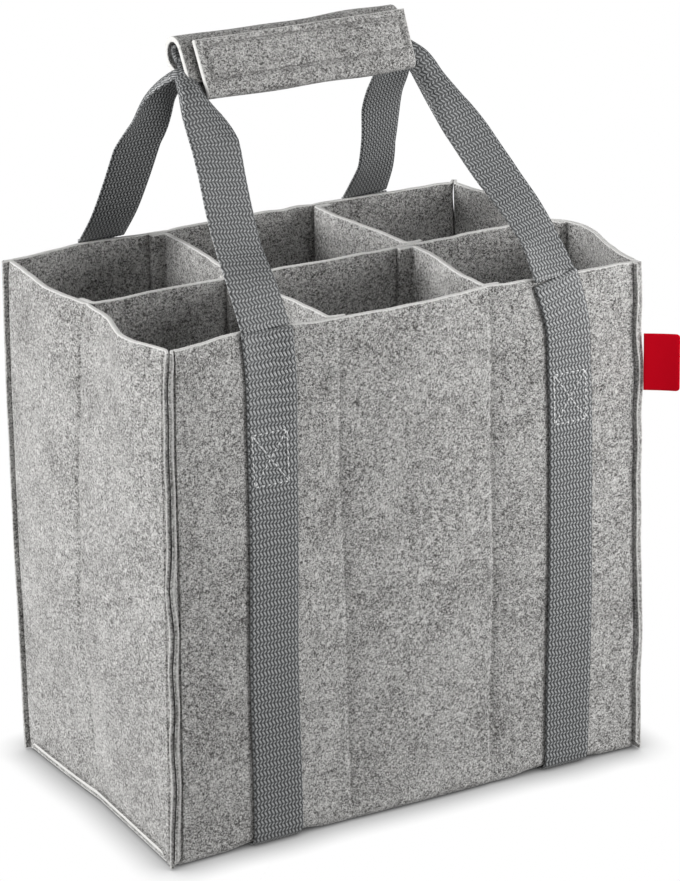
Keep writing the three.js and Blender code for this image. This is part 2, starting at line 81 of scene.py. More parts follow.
# A cut edge is paler (frayed wool and a painted highlight) from where it is drawn in by this share of its
# radius.
CUT_SHOWS = 0.15
# What a seam takes from a sewn cut edge: a share of the inner face's rounding, and of the outer paleness with
# its painted highlight.
SEAM_FLATTENS = 0.75
SEAM_DULLS = 0.4
# Distances from a sewn line of the columns that carry its valley.
NEAR_SEAM = np.array([0.4, 0.8, 1.2, 1.7, 2.4, 3.6]) * MM
# How far below its rim the felt is pressed thinner and frays.
RIM_REACH = 6 * MM


class Face(Enum):
    """The two long walls, by the sign of their place along Y."""

    FRONT = -1
    REAR = 1


class Hand(Enum):
    """The two short sides, by the sign of their place along X."""

    LEFT = -1
    RIGHT = 1


class Edge(Enum):
    """How the cut edge at the side of a sheet lies."""

    FREE = "free"
    SEWN = "sewn to another layer"
    PRESSED = "pressed to a wall"


def eased(values: np.ndarray, low: float, high: float) -> np.ndarray:
    """Rise smoothly from 0 at low to 1 at high.

    Args:
        values: Numbers to place between the two ends.
        low: Value that gives 0.
        high: Value that gives 1.

    Returns:
        The cubic 3t^2 - 2t^3 of the clipped share t.
    """
    share = np.clip((np.asarray(values, float) - low) / (high - low), 0, 1)
    return share * share * (3 - 2 * share)


def bell(distance: np.ndarray, width: float) -> np.ndarray:
    """Bell curve: exp(-(d / w)^2) of a distance d and a width w."""
    return np.exp(-((distance / width) ** 2))


def unit(vectors: np.ndarray) -> np.ndarray:
    """Vectors along the last axis, each divided by its length."""
    return vectors / np.linalg.norm(vectors, axis=-1, keepdims=True)


def joined(*parts: np.ndarray | float) -> np.ndarray:
    """Points or directions from their coordinates, which are brought to one shape and stacked last."""
    return np.stack(np.broadcast_arrays(*parts), axis=-1)


def gone_along(path: np.ndarray) -> np.ndarray:
    """Length of a path up to each of its points: the running sum of its steps, from 0."""
    return np.concatenate([[0], np.cumsum(np.linalg.norm(np.diff(path, axis=0), axis=1))])


def curve_through(knots: np.ndarray, values: np.ndarray, at: np.ndarray) -> np.ndarray:
    """Smooth curve through given values.

    Args:
        knots: Rising places, one for each value.
        values: Numbers or points to pass through, first axis along the knots.
        at: Places where the curve is wanted.

    Returns:
        Cubic Hermite pieces whose slopes are the central differences of the values.
    """
    knots, values = np.asarray(knots, float), np.asarray(values, float)
    slopes = np.gradient(values, knots, axis=0)
    at = np.clip(at, knots[0], knots[-1])
    piece = np.clip(np.searchsorted(knots, at, side="right") - 1, 0, len(knots) - 2)
    step = knots[piece + 1] - knots[piece]
    t = (at - knots[piece]) / step
    if values.ndim > 1:
        t, step = t[:, None], step[:, None]
    start, end = values[piece], values[piece + 1]
    return (
        (2 * t**3 - 3 * t**2 + 1) * start
        + (t**3 - 2 * t**2 + t) * step * slopes[piece]
        + (3 * t**2 - 2 * t**3) * end
        + (t**3 - t**2) * step * slopes[piece + 1]
    )


@dataclass(frozen=True)
class Waves:
    """Seeded unevenness of a soft material: plane waves of about one length in random directions."""

    length: float
    seed: int
    count: int = 9
    spread: tuple[float, float] = (0.7, 1.5)

    def at(self, points: np.ndarray) -> np.ndarray:
        """Height of the waves at some points, mostly between -1 and 1.

        Args:
            points: Places in three dimensions, last axis X, Y, Z.

        Returns:
            The sum of sines of the points along each direction, divided by the root of their number.
        """
        draw = np.random.default_rng(self.seed)
        directions = unit(draw.normal(size=(self.count, 3)))
        lengths = self.length * draw.uniform(*self.spread, self.count)
        phases = draw.uniform(0, 2 * math.pi, self.count)
        turns = points @ (2 * math.pi * directions / lengths[:, None]).T + phases
        return np.sin(turns).sum(axis=-1) / math.sqrt(self.count)


def new_object(name: str, points: np.ndarray, faces: np.ndarray, smooth: bool = True) -> bpy.types.Object:
    """Make a mesh object at the origin with its faces pointing outwards.

    Args:
        name: Name of the piece.
        points: Vertices, N by 3.
        faces: Quads, M by 4, in one turning sense.
        smooth: Whether faces are shaded smooth.

    Returns:
        The object, linked to the scene. Its faces are turned round where their signed volume is below zero.
    """
    points = np.ascontiguousarray(points.reshape(-1, 3), dtype=np.float32)
    faces = np.ascontiguousarray(faces.reshape(-1, 4), dtype=np.int32)
    corner = points[faces].astype(float)
    volume = np.einsum("ij,ij->i", corner[:, 0], np.cross(corner[:, 1], corner[:, 2]))
    volume += np.einsum("ij,ij->i", corner[:, 0], np.cross(corner[:, 2], corner[:, 3]))
    if volume.sum() < 0:
        faces = np.ascontiguousarray(faces[:, ::-1])
    mesh = bpy.data.meshes.new(name)
    mesh.from_pydata(points.tolist(), [], faces.tolist())
    mesh.polygons.foreach_set("use_smooth", np.full(len(faces), smooth))
    mesh.update()
    made = bpy.data.objects.new(name, mesh)
    bpy.context.collection.objects.link(made)
    return made


def vertex_places(piece: bpy.types.Object) -> np.ndarray:
    """Places of a piece's vertices, N by 3."""
    points = np.empty(len(piece.data.vertices) * 3)
    piece.data.vertices.foreach_get("co", points)
    return points.reshape(-1, 3)


def set_attribute(piece: bpy.types.Object, name: str, values: np.ndarray) -> None:
    """Store a number for each vertex of a piece, or a vector where the values are N by 3."""
    kind, key = ("FLOAT_VECTOR", "vector") if values.ndim > 1 else ("FLOAT", "value")
    attribute = piece.data.attributes.new(name, kind, "POINT")
    attribute.data.foreach_set(key, values.astype(np.float32).ravel())


def grid_quads(rows: int, columns: int, offset: int = 0) -> np.ndarray:
    """Quads of a grid of vertices stored row by row, as an N by 4 array."""
    index = np.arange(rows * columns).reshape(rows, columns) + offset
    corners = (index[:-1, :-1], index[:-1, 1:], index[1:, 1:], index[1:, :-1])
    return np.stack(corners, axis=-1).reshape(-1, 4)


def drawn_in(count: int) -> np.ndarray:
    """How far a face is drawn in at each place between two cut edges: r less the root of r^2 - (r - d)^2."""
    loss = CUT_RADIUS - np.sqrt(np.clip(CUT_RADIUS**2 - (CUT_RADIUS - CUT_STEPS) ** 2, 0, None))
    along = np.zeros(count)
    along[: len(loss)] = loss
    along[-len(loss) :] = loss[::-1]
    return along


def closed_sheet(name: str, inner: np.ndarray, outer: np.ndarray, radius: float = CUT_RADIUS,
                 cut_rows: tuple[bool, bool] = (True, True), lie: Edge = Edge.FREE) -> bpy.types.Object:
    """Make a thick sheet with rounded cut edges from the grids of its two faces.

    Args:
        name: Name of the piece.
        inner: Grid of points of one face, rows by columns by 3, with the CUT_STEPS at each border.
        outer: Grid of points of the other face, the same shape.
        radius: Radius of the rounded edges.
        cut_rows: Whether the first and the last row are cut edges, or joins to another piece.
        lie: How the cut edges at the first and the last column lie.

    Returns:
        The two grids joined round their border by a cut face with a middle line, as one closed body. Its
        points have the attribute "cut", 1 at a cut edge, which the felt colours paler as frayed wool and as a
        painted highlight, and "pressed", 1 where a cut face lies in a seam, which it darkens as painted
        shade.
    """
    rows, columns = inner.shape[:2]
    along = drawn_in(rows)
    along[: len(CUT_STEPS)] *= cut_rows[0]
    along[-len(CUT_STEPS) :] *= cut_rows[1]
    loss = np.maximum(along[:, None], drawn_in(columns)[None, :]) * radius / CUT_RADIUS
    through = outer - inner
    through = through / np.maximum(np.linalg.norm(through, axis=-1, keepdims=True), 1e-9)
    pale = loss if lie is not Edge.PRESSED else along[:, None] * radius / CUT_RADIUS + 0 * loss
    edge = (pale > CUT_SHOWS * radius).astype(np.float32)
    seam = np.zeros_like(edge)
    seam[:, : len(CUT_STEPS) - 1] = seam[:, 1 - len(CUT_STEPS) :] = float(lie is Edge.SEWN)
    inner = inner + through * (loss * (1 - SEAM_FLATTENS * seam))[..., None]
    outer = outer - through * loss[..., None]
    count = rows * columns
    index = np.arange(count).reshape(rows, columns)
    around = np.concatenate([index[0, :-1], index[:-1, -1], index[-1, :0:-1], index[:0:-1, 0]])
    after = np.roll(around, -1)
    core = 2 * count + np.arange(len(around))
    core_after = np.roll(core, -1)
    lower_rim = np.stack([after, around, core, core_after], axis=-1)
    upper_rim = np.stack([core_after, core, around + count, after + count], axis=-1)
    near = grid_quads(rows, columns)
    far = grid_quads(rows, columns, count)[:, ::-1]
    faces = [inner.reshape(-1, 3), outer.reshape(-1, 3)]
    points = np.concatenate([*faces, (faces[0][around] + faces[1][around]) / 2])
    made = new_object(name, points, np.concatenate([near, far, lower_rim, upper_rim]))
    # "cut" marks the paler edge, partly a painted highlight; "pressed" marks painted shade in a seam.
    values = {"cut": (edge * (1 - seam), edge * (1 - SEAM_DULLS * seam)), "pressed": (seam * edge, 0 * edge)}
    for label, (below, above) in values.items():
        set_attribute(made, label, np.concatenate([below.ravel(), above.ravel(), below.ravel()[around]]))
    return made


def spaced(low: float, high: float, step: float) -> np.ndarray:
    """Rising places between two cut edges, at most a step apart, with the CUT_STEPS at both ends."""
    start, end = low + CUT_STEPS[-1], high - CUT_STEPS[-1]
    between = np.linspace(start, end, max(2, math.ceil((end - start) / step) + 1))
    return np.concatenate([low + CUT_STEPS[:-1], between, high - CUT_STEPS[-2::-1]])


@dataclass(frozen=True)
class Corner:
    """An upright seam of the box: how far its foot and its rim have moved along X and Y, in millimetres.

    The rim of the half side beside it bows out by its bow, in millimetres, and a skew above 1 moves the
    middle of that bow towards the corner.
    """

    foot: tuple[float, float]
    rim: tuple[float, float]
    bow: float
    skew: float


@dataclass(frozen=True)
class SoftBox:
    """Sizes of the felt box that every piece shares, and the shape that it slumps to.

    The corners are those of the right side, rear and front, and then those of the left side. The belly gives
    heights on the middle seam of a side and how far it stands out there, in millimetres. Fading is the power
    with which a movement dies out below the rim and away from a wall or a side.
    """

    middle: tuple[float, float]
    width: float = 240 * MM
    depth: float = 160 * MM
    height: float = 240 * MM
    felt: float = 3 * MM
    gap: float = 0.3 * MM
    fold_radius: float = 1.5 * MM
    webbing: float = 1.5 * MM
    first_divider: float = -39 * MM
    second_divider: float = 41 * MM
    flange: float = 8 * MM
    seam_allowance: float = 4.6 * MM
    base_allowance: float = 3.2 * MM
    rim_press: float = 0.16
    corners: tuple[tuple[Corner, Corner], ...] = (
        (Corner((-1, -2), (0, 0), 6, 0.8), Corner((1.8, -1), (0.8, 0), 10.5, 0.5)),
        (Corner((-3, -4), (-1.2, 0), 3.5, 0.8), Corner((-7.8, -1.5), (-2.8, -1), 8, 1.6)),
    )
    belly: tuple[tuple[float, float], ...] = (
        (0, 2.5), (20, 3.0), (55, 5.5), (85, 8.5), (130, 7.6), (196, 5.0), (228, 3.0), (240, 0.8), (400, 0.8))
    rear_left_bow: float = -1.2 * MM
    panel_bulge: float = 1.7 * MM
    side_bulge: float = 3.4 * MM
    bulge_power: float = 2.4
    upright_power: float = 0.7
    front_dip: float = 6 * MM
    rear_bow: float = 4.5 * MM
    rear_share: float = 0.3
    seam_pull: float = 4 * MM
    seam_reach: float = 22 * MM
    fading: int = 4
    unevenness: float = 0.45 * MM
    uneven_length: float = 110 * MM
    strap_reach: float = 14 * MM
    sag_heights: tuple[float, float] = (4 * MM, 40 * MM)

    @property
    def half_width(self) -> float:
        """From the middle to the inner face of a side panel."""
        return self.width / 2 - self.felt

    @property
    def half_depth(self) -> float:
        """From the middle to the inner face of a long wall."""
        return self.depth / 2 - self.felt

    @property
    def base(self) -> float:
        """Height of the felt base's underside, which lies on the webbing."""
        return self.webbing + self.gap

    def by_corner(self, size: str, left: np.ndarray, front: np.ndarray) -> np.ndarray:
        """One size of the corner that each point belongs to."""
        table = np.array([[getattr(corner, size) for corner in pair] for pair in self.corners])
        return table[left.astype(int), front.astype(int)]

    def side_bow(self, left: np.ndarray, front: np.ndarray, across: np.ndarray) -> np.ndarray:
        """How far each half side stands out at its rim: a squared sine of a power of the share across."""
        skew = self.by_corner("skew", left, front)
        return self.by_corner("bow", left, front) * MM * np.sin(math.pi * across**skew) ** 2

    def side_belly(self, z: np.ndarray) -> np.ndarray:
        """How far the middle seam of a side stands out at each height, as a smooth curve."""
        heights, out = np.array(self.belly).T * MM
        return curve_through(heights, out, np.ravel(np.clip(z, 0, heights[-1]))).reshape(np.shape(z))

    def lean(self, left: np.ndarray, front: np.ndarray, level: np.ndarray) -> np.ndarray:
        """How far each upright seam has moved along X and Y, from its foot to its rim, with one that bows."""
        foot, rim = (self.by_corner(size, left, front) * MM for size in ("foot", "rim"))
        moved = foot + (rim - foot) * level[..., None]
        bow = np.where(left & ~front, self.rear_left_bow, 0)
        moved[..., 0] += bow * np.sin(math.pi * level) ** self.upright_power
        return moved

    def stand(self, points: np.ndarray) -> np.ndarray:
        """Carry straight-built points to where the slumped box has them, in the part's frame.

        Args:
            points: Places from the middle of the straight box.

        Returns:
            The places with the bow and belly of the sides, the dip of the front left cell, the pull of the
            second front seam, the lean of the corners and a slight unevenness.
        """
        x, y, z = points[..., 0], points[..., 1], points[..., 2]
        level = np.clip(z / self.height, 0, 1)
        rim = level**self.fading
        across = np.clip(np.abs(y) / self.half_depth, 0, 1)
        wall = across**self.fading
        reach = np.clip(np.abs(x) / self.half_width, 0, 1) ** self.fading
        left, front = x < 0, y < 0
        height = np.sin(math.pi * level) ** self.upright_power
        swell = self.side_belly(z) * (1 - across)
        swell = swell + self.side_bulge * height * (1 - np.abs(2 * across - 1) ** self.bulge_power)
        out = np.sign(x) * reach * (self.side_bow(left, front, across) * rim + swell)
        cell = np.clip((x + self.half_width) / (self.first_divider + self.half_width), 0, 1)
        swing = np.where(front, self.front_dip, self.rear_bow)
        inwards = swing * rim * wall * np.sin(math.pi * cell) ** 2
        pulled = bell(x - self.second_divider, self.seam_reach)
        inwards = inwards + np.where(front, self.seam_pull * rim * wall * pulled, 0)
        middle = bell(x, self.rear_share * self.width)
        inwards = inwards + np.where(front, 0, self.rear_bow * rim * wall * middle)
        marks = [-self.half_width, self.first_divider, self.second_divider, self.half_width]
        panel = np.interp(x, marks, [0, 1, 2, 3]) % 1
        bulge = self.panel_bulge * height * wall * (1 - np.abs(2 * panel - 1) ** self.bulge_power)
        inwards = inwards + np.sign(y) * bulge
        lean = self.lean(left, front, level)
        corner = reach * across ** (1 + 3 * level)
        drift = joined(*(Waves(self.uneven_length, seed).at(points) for seed in (3, 5))) * self.unevenness
        moved = np.array(points, float)
        moved[..., 0] += out + corner * lean[..., 0] + drift[..., 0] + self.middle[0]
        moved[..., 1] += inwards + corner * lean[..., 1] + drift[..., 1] + self.middle[1]
        return moved

    def grounded(self, points: np.ndarray, keep: tuple[tuple[float, float], ...]) -> np.ndarray:
        """Let the lowest felt sag to the ground between the straps.

        Args:
            points: Places from the middle of the straight box.
            keep: X from and to of each strap, over which the felt stays up.

        Returns:
            The points, lowered by the webbing's thickness where no strap lies below.
        """
        x, z = points[..., 0], points[..., 2]
        held = np.zeros_like(x)
        for low, high in keep:
            over = eased(x, low - self.strap_reach, low) * (1 - eased(x, high, high + self.strap_reach))
            held = np.maximum(held, over)
        lowered = np.array(points, float)
        lowered[..., 2] -= (self.base - self.gap) * (1 - held) * (1 - eased(z, *self.sag_heights))
        return lowered


def seam_profile(distance: np.ndarray, depth: float) -> np.ndarray:
    """Height of the felt across a sewn line: a valley, steep on its left and slow on its right.

    Args:
        distance: How far each point lies to the right of the line.
        depth: Depth of the valley at the line.

    Returns:
        A bell 1.3 mm wide on the left, and on the right a bell of 1.5 mm on an exponential of 4.5 mm.
    """
    left = bell(distance, 1.3 * MM)
    right = 0.45 * bell(distance, 1.5 * MM) + 0.55 * np.exp(-np.abs(distance) / (4.5 * MM))
    return -depth * np.where(distance < 0, left, right)


@dataclass(frozen=True)
class Stitching:
    """Rows of sewing thread on a surface.

    A stitch is at most the longest share of its pitch, sinks in by a share of its radius, and has a
    share of that radius left at its thin ends.
    """

    pitch: float = 3.0 * MM
    length: float = 2.0 * MM
    radius: float = 0.28 * MM
    rise: float = 0.35 * MM
    longest: float = 0.75
    sink: float = 0.6
    thin_end: float = 0.45
    rings: int = 7
    sides: int = 6

    def along(self, path: np.ndarray, normal: np.ndarray) -> np.ndarray:
        """Points of all the stitches of one sewn line.

        Args:
            path: Points of the line on the surface.
            normal: Outward direction of the surface at each of them.

        Returns:
            Array of stitches by rings by sides by 3: each stitch is a thin tube that rises from the surface
            as a half sine and thins at both ends, and a stitch starts at every pitch along the line.
        """
        gone = gone_along(path)
        count = max(1, round(gone[-1] / self.pitch))
        pitch = gone[-1] / count
        share = np.linspace(0, 1, self.rings)
        length = min(self.length, self.longest * pitch)
        at = (np.arange(count)[:, None] + 0.5) * pitch + (share - 0.5) * length
        flat = at.ravel()

        def follow(values: np.ndarray, ahead: float = 0.0) -> np.ndarray:
            """Values of the line at each ring, or a little ahead of it."""
            return joined(*(np.interp(flat + ahead, gone, values[:, k]) for k in range(3)))

        out = unit(follow(normal))
        across = np.cross(unit(follow(path, 0.3 * MM) - follow(path, -0.3 * MM)), out)
        hump = np.tile(np.sin(math.pi * share), count)[:, None]
        centre = follow(path) + out * (self.rise * hump - self.sink * self.radius)
        thick = self.radius * (self.thin_end + (1 - self.thin_end) * hump)
        angles = np.arange(self.sides) * 2 * math.pi / self.sides
        ring = (
            centre[:, None, :]
            + (thick[:, :, None] * np.cos(angles)[None, :, None]) * across[:, None, :]
            + (thick[:, :, None] * np.sin(angles)[None, :, None]) * out[:, None, :]
        )
        return ring.reshape(count, self.rings, self.sides, 3)

    def mesh(self, name: str, lines: list[tuple[np.ndarray, np.ndarray]]) -> bpy.types.Object:
        """Make one piece of all the stitches of some sewn lines.

        Args:
            name: Name of the piece.
            lines: Path and normals of each line.

        Returns:
            The object, whose stitches are closed tubes. Two quads close each six-sided end.
        """
        tubes = np.concatenate([self.along(path, normal) for path, normal in lines])
        count, per = len(tubes), self.rings * self.sides
        ring = np.arange(self.sides)
        following = np.roll(ring, -1)
        walls = [
            np.stack([r * self.sides + ring, r * self.sides + following,
                      (r + 1) * self.sides + following, (r + 1) * self.sides + ring], axis=-1)
            for r in range(self.rings - 1)
        ]
        last = (self.rings - 1) * self.sides
        caps = np.array([[0, 5, 4, 1], [1, 4, 3, 2], [last + 1, last + 4, last + 5, last],
                         [last + 2, last + 3, last + 4, last + 1]])
        one = np.concatenate([*walls, caps])
        faces = (one[None] + (np.arange(count) * per)[:, None, None]).reshape(-1, 4)
        return new_object(name, tubes, faces)


def add_node(tree: bpy.types.NodeTree, kind: str, inputs: dict | None = None, **settings) -> bpy.types.Node:
    """Add one node to a tree.

    Args:
        tree: Tree of the material or world.
        kind: Node type's name, without the word ShaderNode that it starts with.
        inputs: Value or another node's output for each input, by its name or number.
        settings: Properties of the node.

    Returns:
        The node.
    """
    made = tree.nodes.new(f"ShaderNode{kind}")
    for name, value in settings.items():
        setattr(made, name, value)
    for key, value in (inputs or {}).items():
        if isinstance(value, bpy.types.NodeSocket):
            tree.links.new(value, made.inputs[key])
        else:
            made.inputs[key].default_value = value
    return made


def linear(code: str) -> tuple[float, float, float, float]:
    """Colour in linear light from an sRGB hex value such as "9b9a98"."""
    parts = [int(code[k : k + 2], 16) / 255 for k in (0, 2, 4)]
    light = [p / 12.92 if p <= 0.04045 else ((p + 0.055) / 1.055) ** 2.4 for p in parts]
    return (*light, 1.0)


def new_material(name: str) -> tuple[bpy.types.Material, bpy.types.NodeTree, bpy.types.Node]:
    """Make a material with nothing but a principled shader.

    Args:
        name: Name of the finish.

    Returns:
        The material, its tree and its shader.
    """
    made = bpy.data.materials.new(name)
    made.use_nodes = True
    tree = made.node_tree
    tree.nodes.clear()
    output = add_node(tree, "OutputMaterial")
    shader = add_node(tree, "BsdfPrincipled")
    tree.links.new(shader.outputs[0], output.inputs["Surface"])
    return made, tree, shader


def cover(tree: bpy.types.NodeTree, shader: bpy.types.Node, colour: bpy.types.Node, bump: bpy.types.Node,
          values: dict[str, float]) -> None:
    """Give a shader its colour, its relief and the values that are the same all over.

    Args:
        tree: Tree of the material.
        shader: Its principled shader.
        colour: Mix node that gives the colour.
        bump: Node that gives the relief.
        values: Even value for each named input.
    """
    tree.links.new(colour.outputs[2], shader.inputs["Base Color"])
    tree.links.new(bump.outputs[0], shader.inputs["Normal"])
    for name, value in values.items():
        shader.inputs[name].default_value = value


@dataclass(frozen=True)
class PressedFelt:
    """Pressed melange felt: pale wool with dark fibres pressed in, matt and slightly fuzzy.

    Its patterns are as large as a tuft of bent fibres, a fleck and a soft cloud of them.
    """

    name: str = "pressed_melange_felt"
    pale: str = "dad9d7"
    grey: str = "a6a5a3"
    dark: str = "4a4846"
    # Tone of cut edges: frayed wool, and also a painted highlight.
    frayed: str = "f4f3f0"
    fibre: float = 0.78 * MM
    fleck: float = 3.2 * MM
    cloud: float = 24 * MM
    fleck_share: float = 0.32
    cloud_share: float = 0.16
    darkest: float = 0.59
    palest: float = 0.9
    relief: float = 0.5 * MM
    bumpiness: float = 0.75
    roughness: float = 0.95
    gloss: float = 0.2
    fuzz: float = 0.15
    fuzz_roughness: float = 0.6
    # How far a cut edge mixes to the frayed tone, which is partly a painted highlight.
    fray_and_highlight_share: float = 0.85
    # How far a cut face in a seam darkens: painted shade between the sewn layers.
    seam_shade: float = 0.1

    def make(self) -> bpy.types.Material:
        """Sum the fibres, flecks and clouds by their shares, and colour the sum from dark over grey to pale.

        Returns:
            The material. It mixes to a pale frayed tone at a cut edge, which is also a painted highlight, and
            a little to dark in a seam as painted shade. The fibres and flecks also give its relief.
        """
        made, tree, shader = new_material(self.name)
        node = partial(add_node, tree)
        place = node("TexCoord").outputs["Object"]
        clouds = node("TexNoise", {"Vector": place, "Scale": 1 / self.cloud, "Detail": 2.0})
        flecks = node("TexNoise", {"Vector": place, "Scale": 1 / self.fleck, "Detail": 2.0,
                                   "Roughness": 0.6, "Distortion": 1.2})
        fibres = node("TexNoise", {"Vector": place, "Scale": 1 / self.fibre, "Detail": 1.0,
                                   "Roughness": 0.7, "Distortion": 1.0})
        fine = node("Math", {0: flecks.outputs["Fac"], 1: self.fleck_share, 2: fibres.outputs["Fac"]},
                    operation="MULTIPLY_ADD")
        total = node("Math", {0: clouds.outputs["Fac"], 1: self.cloud_share, 2: fine.outputs[0]},
                     operation="MULTIPLY_ADD")
        share = node("MapRange", {"Value": total.outputs[0], "From Min": self.darkest,
                                  "From Max": self.palest})
        lower = node("MapRange", {"Value": share.outputs[0], "From Min": 0.0, "From Max": 0.5})
        upper = node("MapRange", {"Value": share.outputs[0], "From Min": 0.5, "From Max": 1.0})
        # Cut edges turn paler: frayed wool, and also a painted highlight.
        cut = node("Attribute", attribute_name="cut")
        fray_and_highlight = node("Math", {0: cut.outputs["Fac"], 1: self.fray_and_highlight_share}, operation="MULTIPLY")
        # Cut faces inside a seam turn darker: painted shade between the sewn layers.
        seam = node("Attribute", attribute_name="pressed")
        seam_shade = node("Math", {0: seam.outputs["Fac"], 1: self.seam_shade}, operation="MULTIPLY")
        colour = node("Mix", {"Factor": lower.outputs[0], 6: linear(self.dark), 7: linear(self.grey)},
                      data_type="RGBA")
        for amount, tone in ((upper, self.pale), (fray_and_highlight, self.frayed), (seam_shade, self.dark)):
            colour = node("Mix", {"Factor": amount.outputs[0], 6: colour.outputs[2], 7: linear(tone)},
                          data_type="RGBA")
        bump = node("Bump", {"Height": fine.outputs[0], "Strength": self.bumpiness, "Distance": self.relief})
        cover(tree, shader, colour, bump, {
            "Roughness": self.roughness, "Specular IOR Level": self.gloss,
            "Sheen Weight": self.fuzz, "Sheen Roughness": self.fuzz_roughness})
        return made


@dataclass(frozen=True)
class WovenWebbing:
    """Polypropylene webbing: lengthwise ribs of short slanting floats, which read as fine wavy lines."""

    name: str = "woven_polypropylene_webbing"
    # The weave's two darker tones, shade and hollow, are painted shade in its low places.
    yarn: str = "abadae"
    shade: str = "6b6d6e"
    hollow: str = "3a3b3c"
    column: float = 24 * MM / 14
    wave: float = 4.0 * MM
    swing: float = 0.25
    skew: float = -0.3
    drift_length: float = 9 * MM
    drift: float = 0.6
    rib_span: tuple[float, float] = (-0.8, 0.5)
    float_span: tuple[float, float] = (-1.0, 0.3)
    float_end: float = 0.45
    half_height: float = 0.45
    relief: float = 0.35 * MM
    bumpiness: float = 0.6
    roughness: float = 0.4
    gloss: float = 0.8

    def make(self) -> bpy.types.Material:
        """Ribs are a cosine across the band, which swings sideways with a skewed sine along it.

        Returns:
            The material. A float is a cosine of twice the turn along the band, which a slow noise shifts.
        """
        made, tree, shader = new_material(self.name)
        node = partial(add_node, tree)
        place = node("Attribute", attribute_name="weave").outputs["Vector"]
        parts = node("SeparateXYZ", {0: place})
        across = node("Math", {0: parts.outputs[0], 1: 1 / self.column}, operation="MULTIPLY")
        wobble = node("TexNoise", {"Vector": place, "Scale": 1 / self.drift_length, "Detail": 1.0})
        drift = node("Math", {0: wobble.outputs["Fac"], 1: 2 * math.pi * self.drift}, operation="MULTIPLY")
        turn = node("Math", {0: parts.outputs[1], 1: 2 * math.pi / self.wave, 2: drift.outputs[0]},
                    operation="MULTIPLY_ADD")
        lead = node("Math", {0: turn.outputs[0]}, operation="SINE")
        skewed = node("Math", {0: lead.outputs[0], 1: self.skew, 2: turn.outputs[0]},
                      operation="MULTIPLY_ADD")
        swing = node("Math", {0: skewed.outputs[0]}, operation="SINE")
        bent = node("Math", {0: swing.outputs[0], 1: self.swing, 2: across.outputs[0]},
                    operation="MULTIPLY_ADD")
        column = node("Math", {0: bent.outputs[0], 1: 2 * math.pi}, operation="MULTIPLY")
        rib = node("Math", {0: column.outputs[0]}, operation="COSINE")
        raised = node("MapRange", {"Value": rib.outputs[0], "From Min": self.rib_span[0],
                                   "From Max": self.rib_span[1]})
        double = node("Math", {0: skewed.outputs[0], 1: 2.0}, operation="MULTIPLY")
        middle = node("Math", {0: double.outputs[0]}, operation="COSINE")
        lifted = node("MapRange", {"Value": middle.outputs[0], "From Min": self.float_span[0],
                                   "From Max": self.float_span[1], "To Min": self.float_end})
        height = node("Math", {0: raised.outputs[0], 1: lifted.outputs[0]}, operation="MULTIPLY")
        low = node("MapRange", {"Value": height.outputs[0], "From Max": self.half_height})
        high = node("MapRange", {"Value": height.outputs[0], "From Min": self.half_height})
        # Low places of the weave go from hollow to shade and high ones to yarn: painted shade in the hollows
        # between floats.
        shaded_hollows = node("Mix", {"Factor": low.outputs[0], 6: linear(self.hollow), 7: linear(self.shade)},
                    data_type="RGBA")
        colour = node("Mix", {"Factor": high.outputs[0], 6: shaded_hollows.outputs[2], 7: linear(self.yarn)},
                      data_type="RGBA")
        bump = node("Bump", {"Height": height.outputs[0], "Strength": self.bumpiness,
                             "Distance": self.relief})
        cover(tree, shader, colour, bump, {"Roughness": self.roughness, "Specular IOR Level": self.gloss})
        return made


@dataclass(frozen=True)
class SewingThread:
    """Spun polyester thread with a slight sheen, twisted from two strands."""

    name: str
    colour: str
    shade: float = 0.8
    patch: float = 4 * MM
    strand: float = 0.4 * MM
    relief: float = 0.1 * MM
    bumpiness: float = 0.4
    roughness: float = 0.55

    def make(self) -> bpy.types.Material:
        """Colour that varies a little from stitch to stitch, with a fine twist in the relief."""
        made, tree, shader = new_material(self.name)
        node = partial(add_node, tree)
        place = node("TexCoord").outputs["Object"]
        tone = node("TexNoise", {"Vector": place, "Scale": 1 / self.patch, "Detail": 1.0})
        twist = node("TexNoise", {"Vector": place, "Scale": 1 / self.strand, "Detail": 1.0})
        light = linear(self.colour)
        dark = tuple(self.shade * part for part in light[:3]) + (1.0,)
        colour = node("Mix", {"Factor": tone.outputs["Fac"], 6: dark, 7: light}, data_type="RGBA")
        bump = node("Bump", {"Height": twist.outputs["Fac"], "Strength": self.bumpiness,
                             "Distance": self.relief})
        cover(tree, shader, colour, bump, {"Roughness": self.roughness})
        return made


@dataclass(frozen=True)
class SatinRibbon:
    """Closely woven polyester ribbon, dyed in the yarn: even red with a very fine weave.

    The yarns are drawn a little coarser than real so that they show.
    """

    name: str = "woven_satin_ribbon"
    colour: str = "e6001f"
    edge: str = "d4001c"
    yarn: float = 0.5 * MM
    relief: float = 0.08 * MM
    bumpiness: float = 0.25
    roughness: float = 0.55
    gloss: float = 0.08

    def make(self) -> bpy.types.Material:
        """Crossing yarns: a sine along the ribbon times a sine across it, in colour and in relief."""
        made, tree, shader = new_material(self.name)
        node = partial(add_node, tree)
        place = node("Attribute", attribute_name="weave").outputs["Vector"]
        turns = 2 * math.pi / self.yarn
        spread = node("VectorMath", {0: place, 1: (turns, turns, turns)}, operation="MULTIPLY")
        parts = node("SeparateXYZ", {0: spread.outputs[0]})
        warp = node("Math", {0: parts.outputs[0]}, operation="SINE")
        weft = node("Math", {0: parts.outputs[1]}, operation="SINE")
        weave = node("Math", {0: warp.outputs[0], 1: weft.outputs[0]}, operation="MULTIPLY")
        share = node("MapRange", {"Value": weave.outputs[0], "From Min": -1.0})
        colour = node("Mix", {"Factor": share.outputs[0], 6: linear(self.edge), 7: linear(self.colour)},
                      data_type="RGBA")
        bump = node("Bump", {"Height": share.outputs[0], "Strength": self.bumpiness, "Distance": self.relief})
        cover(tree, shader, colour, bump, {"Roughness": self.roughness, "Specular IOR Level": self.gloss})
        return made


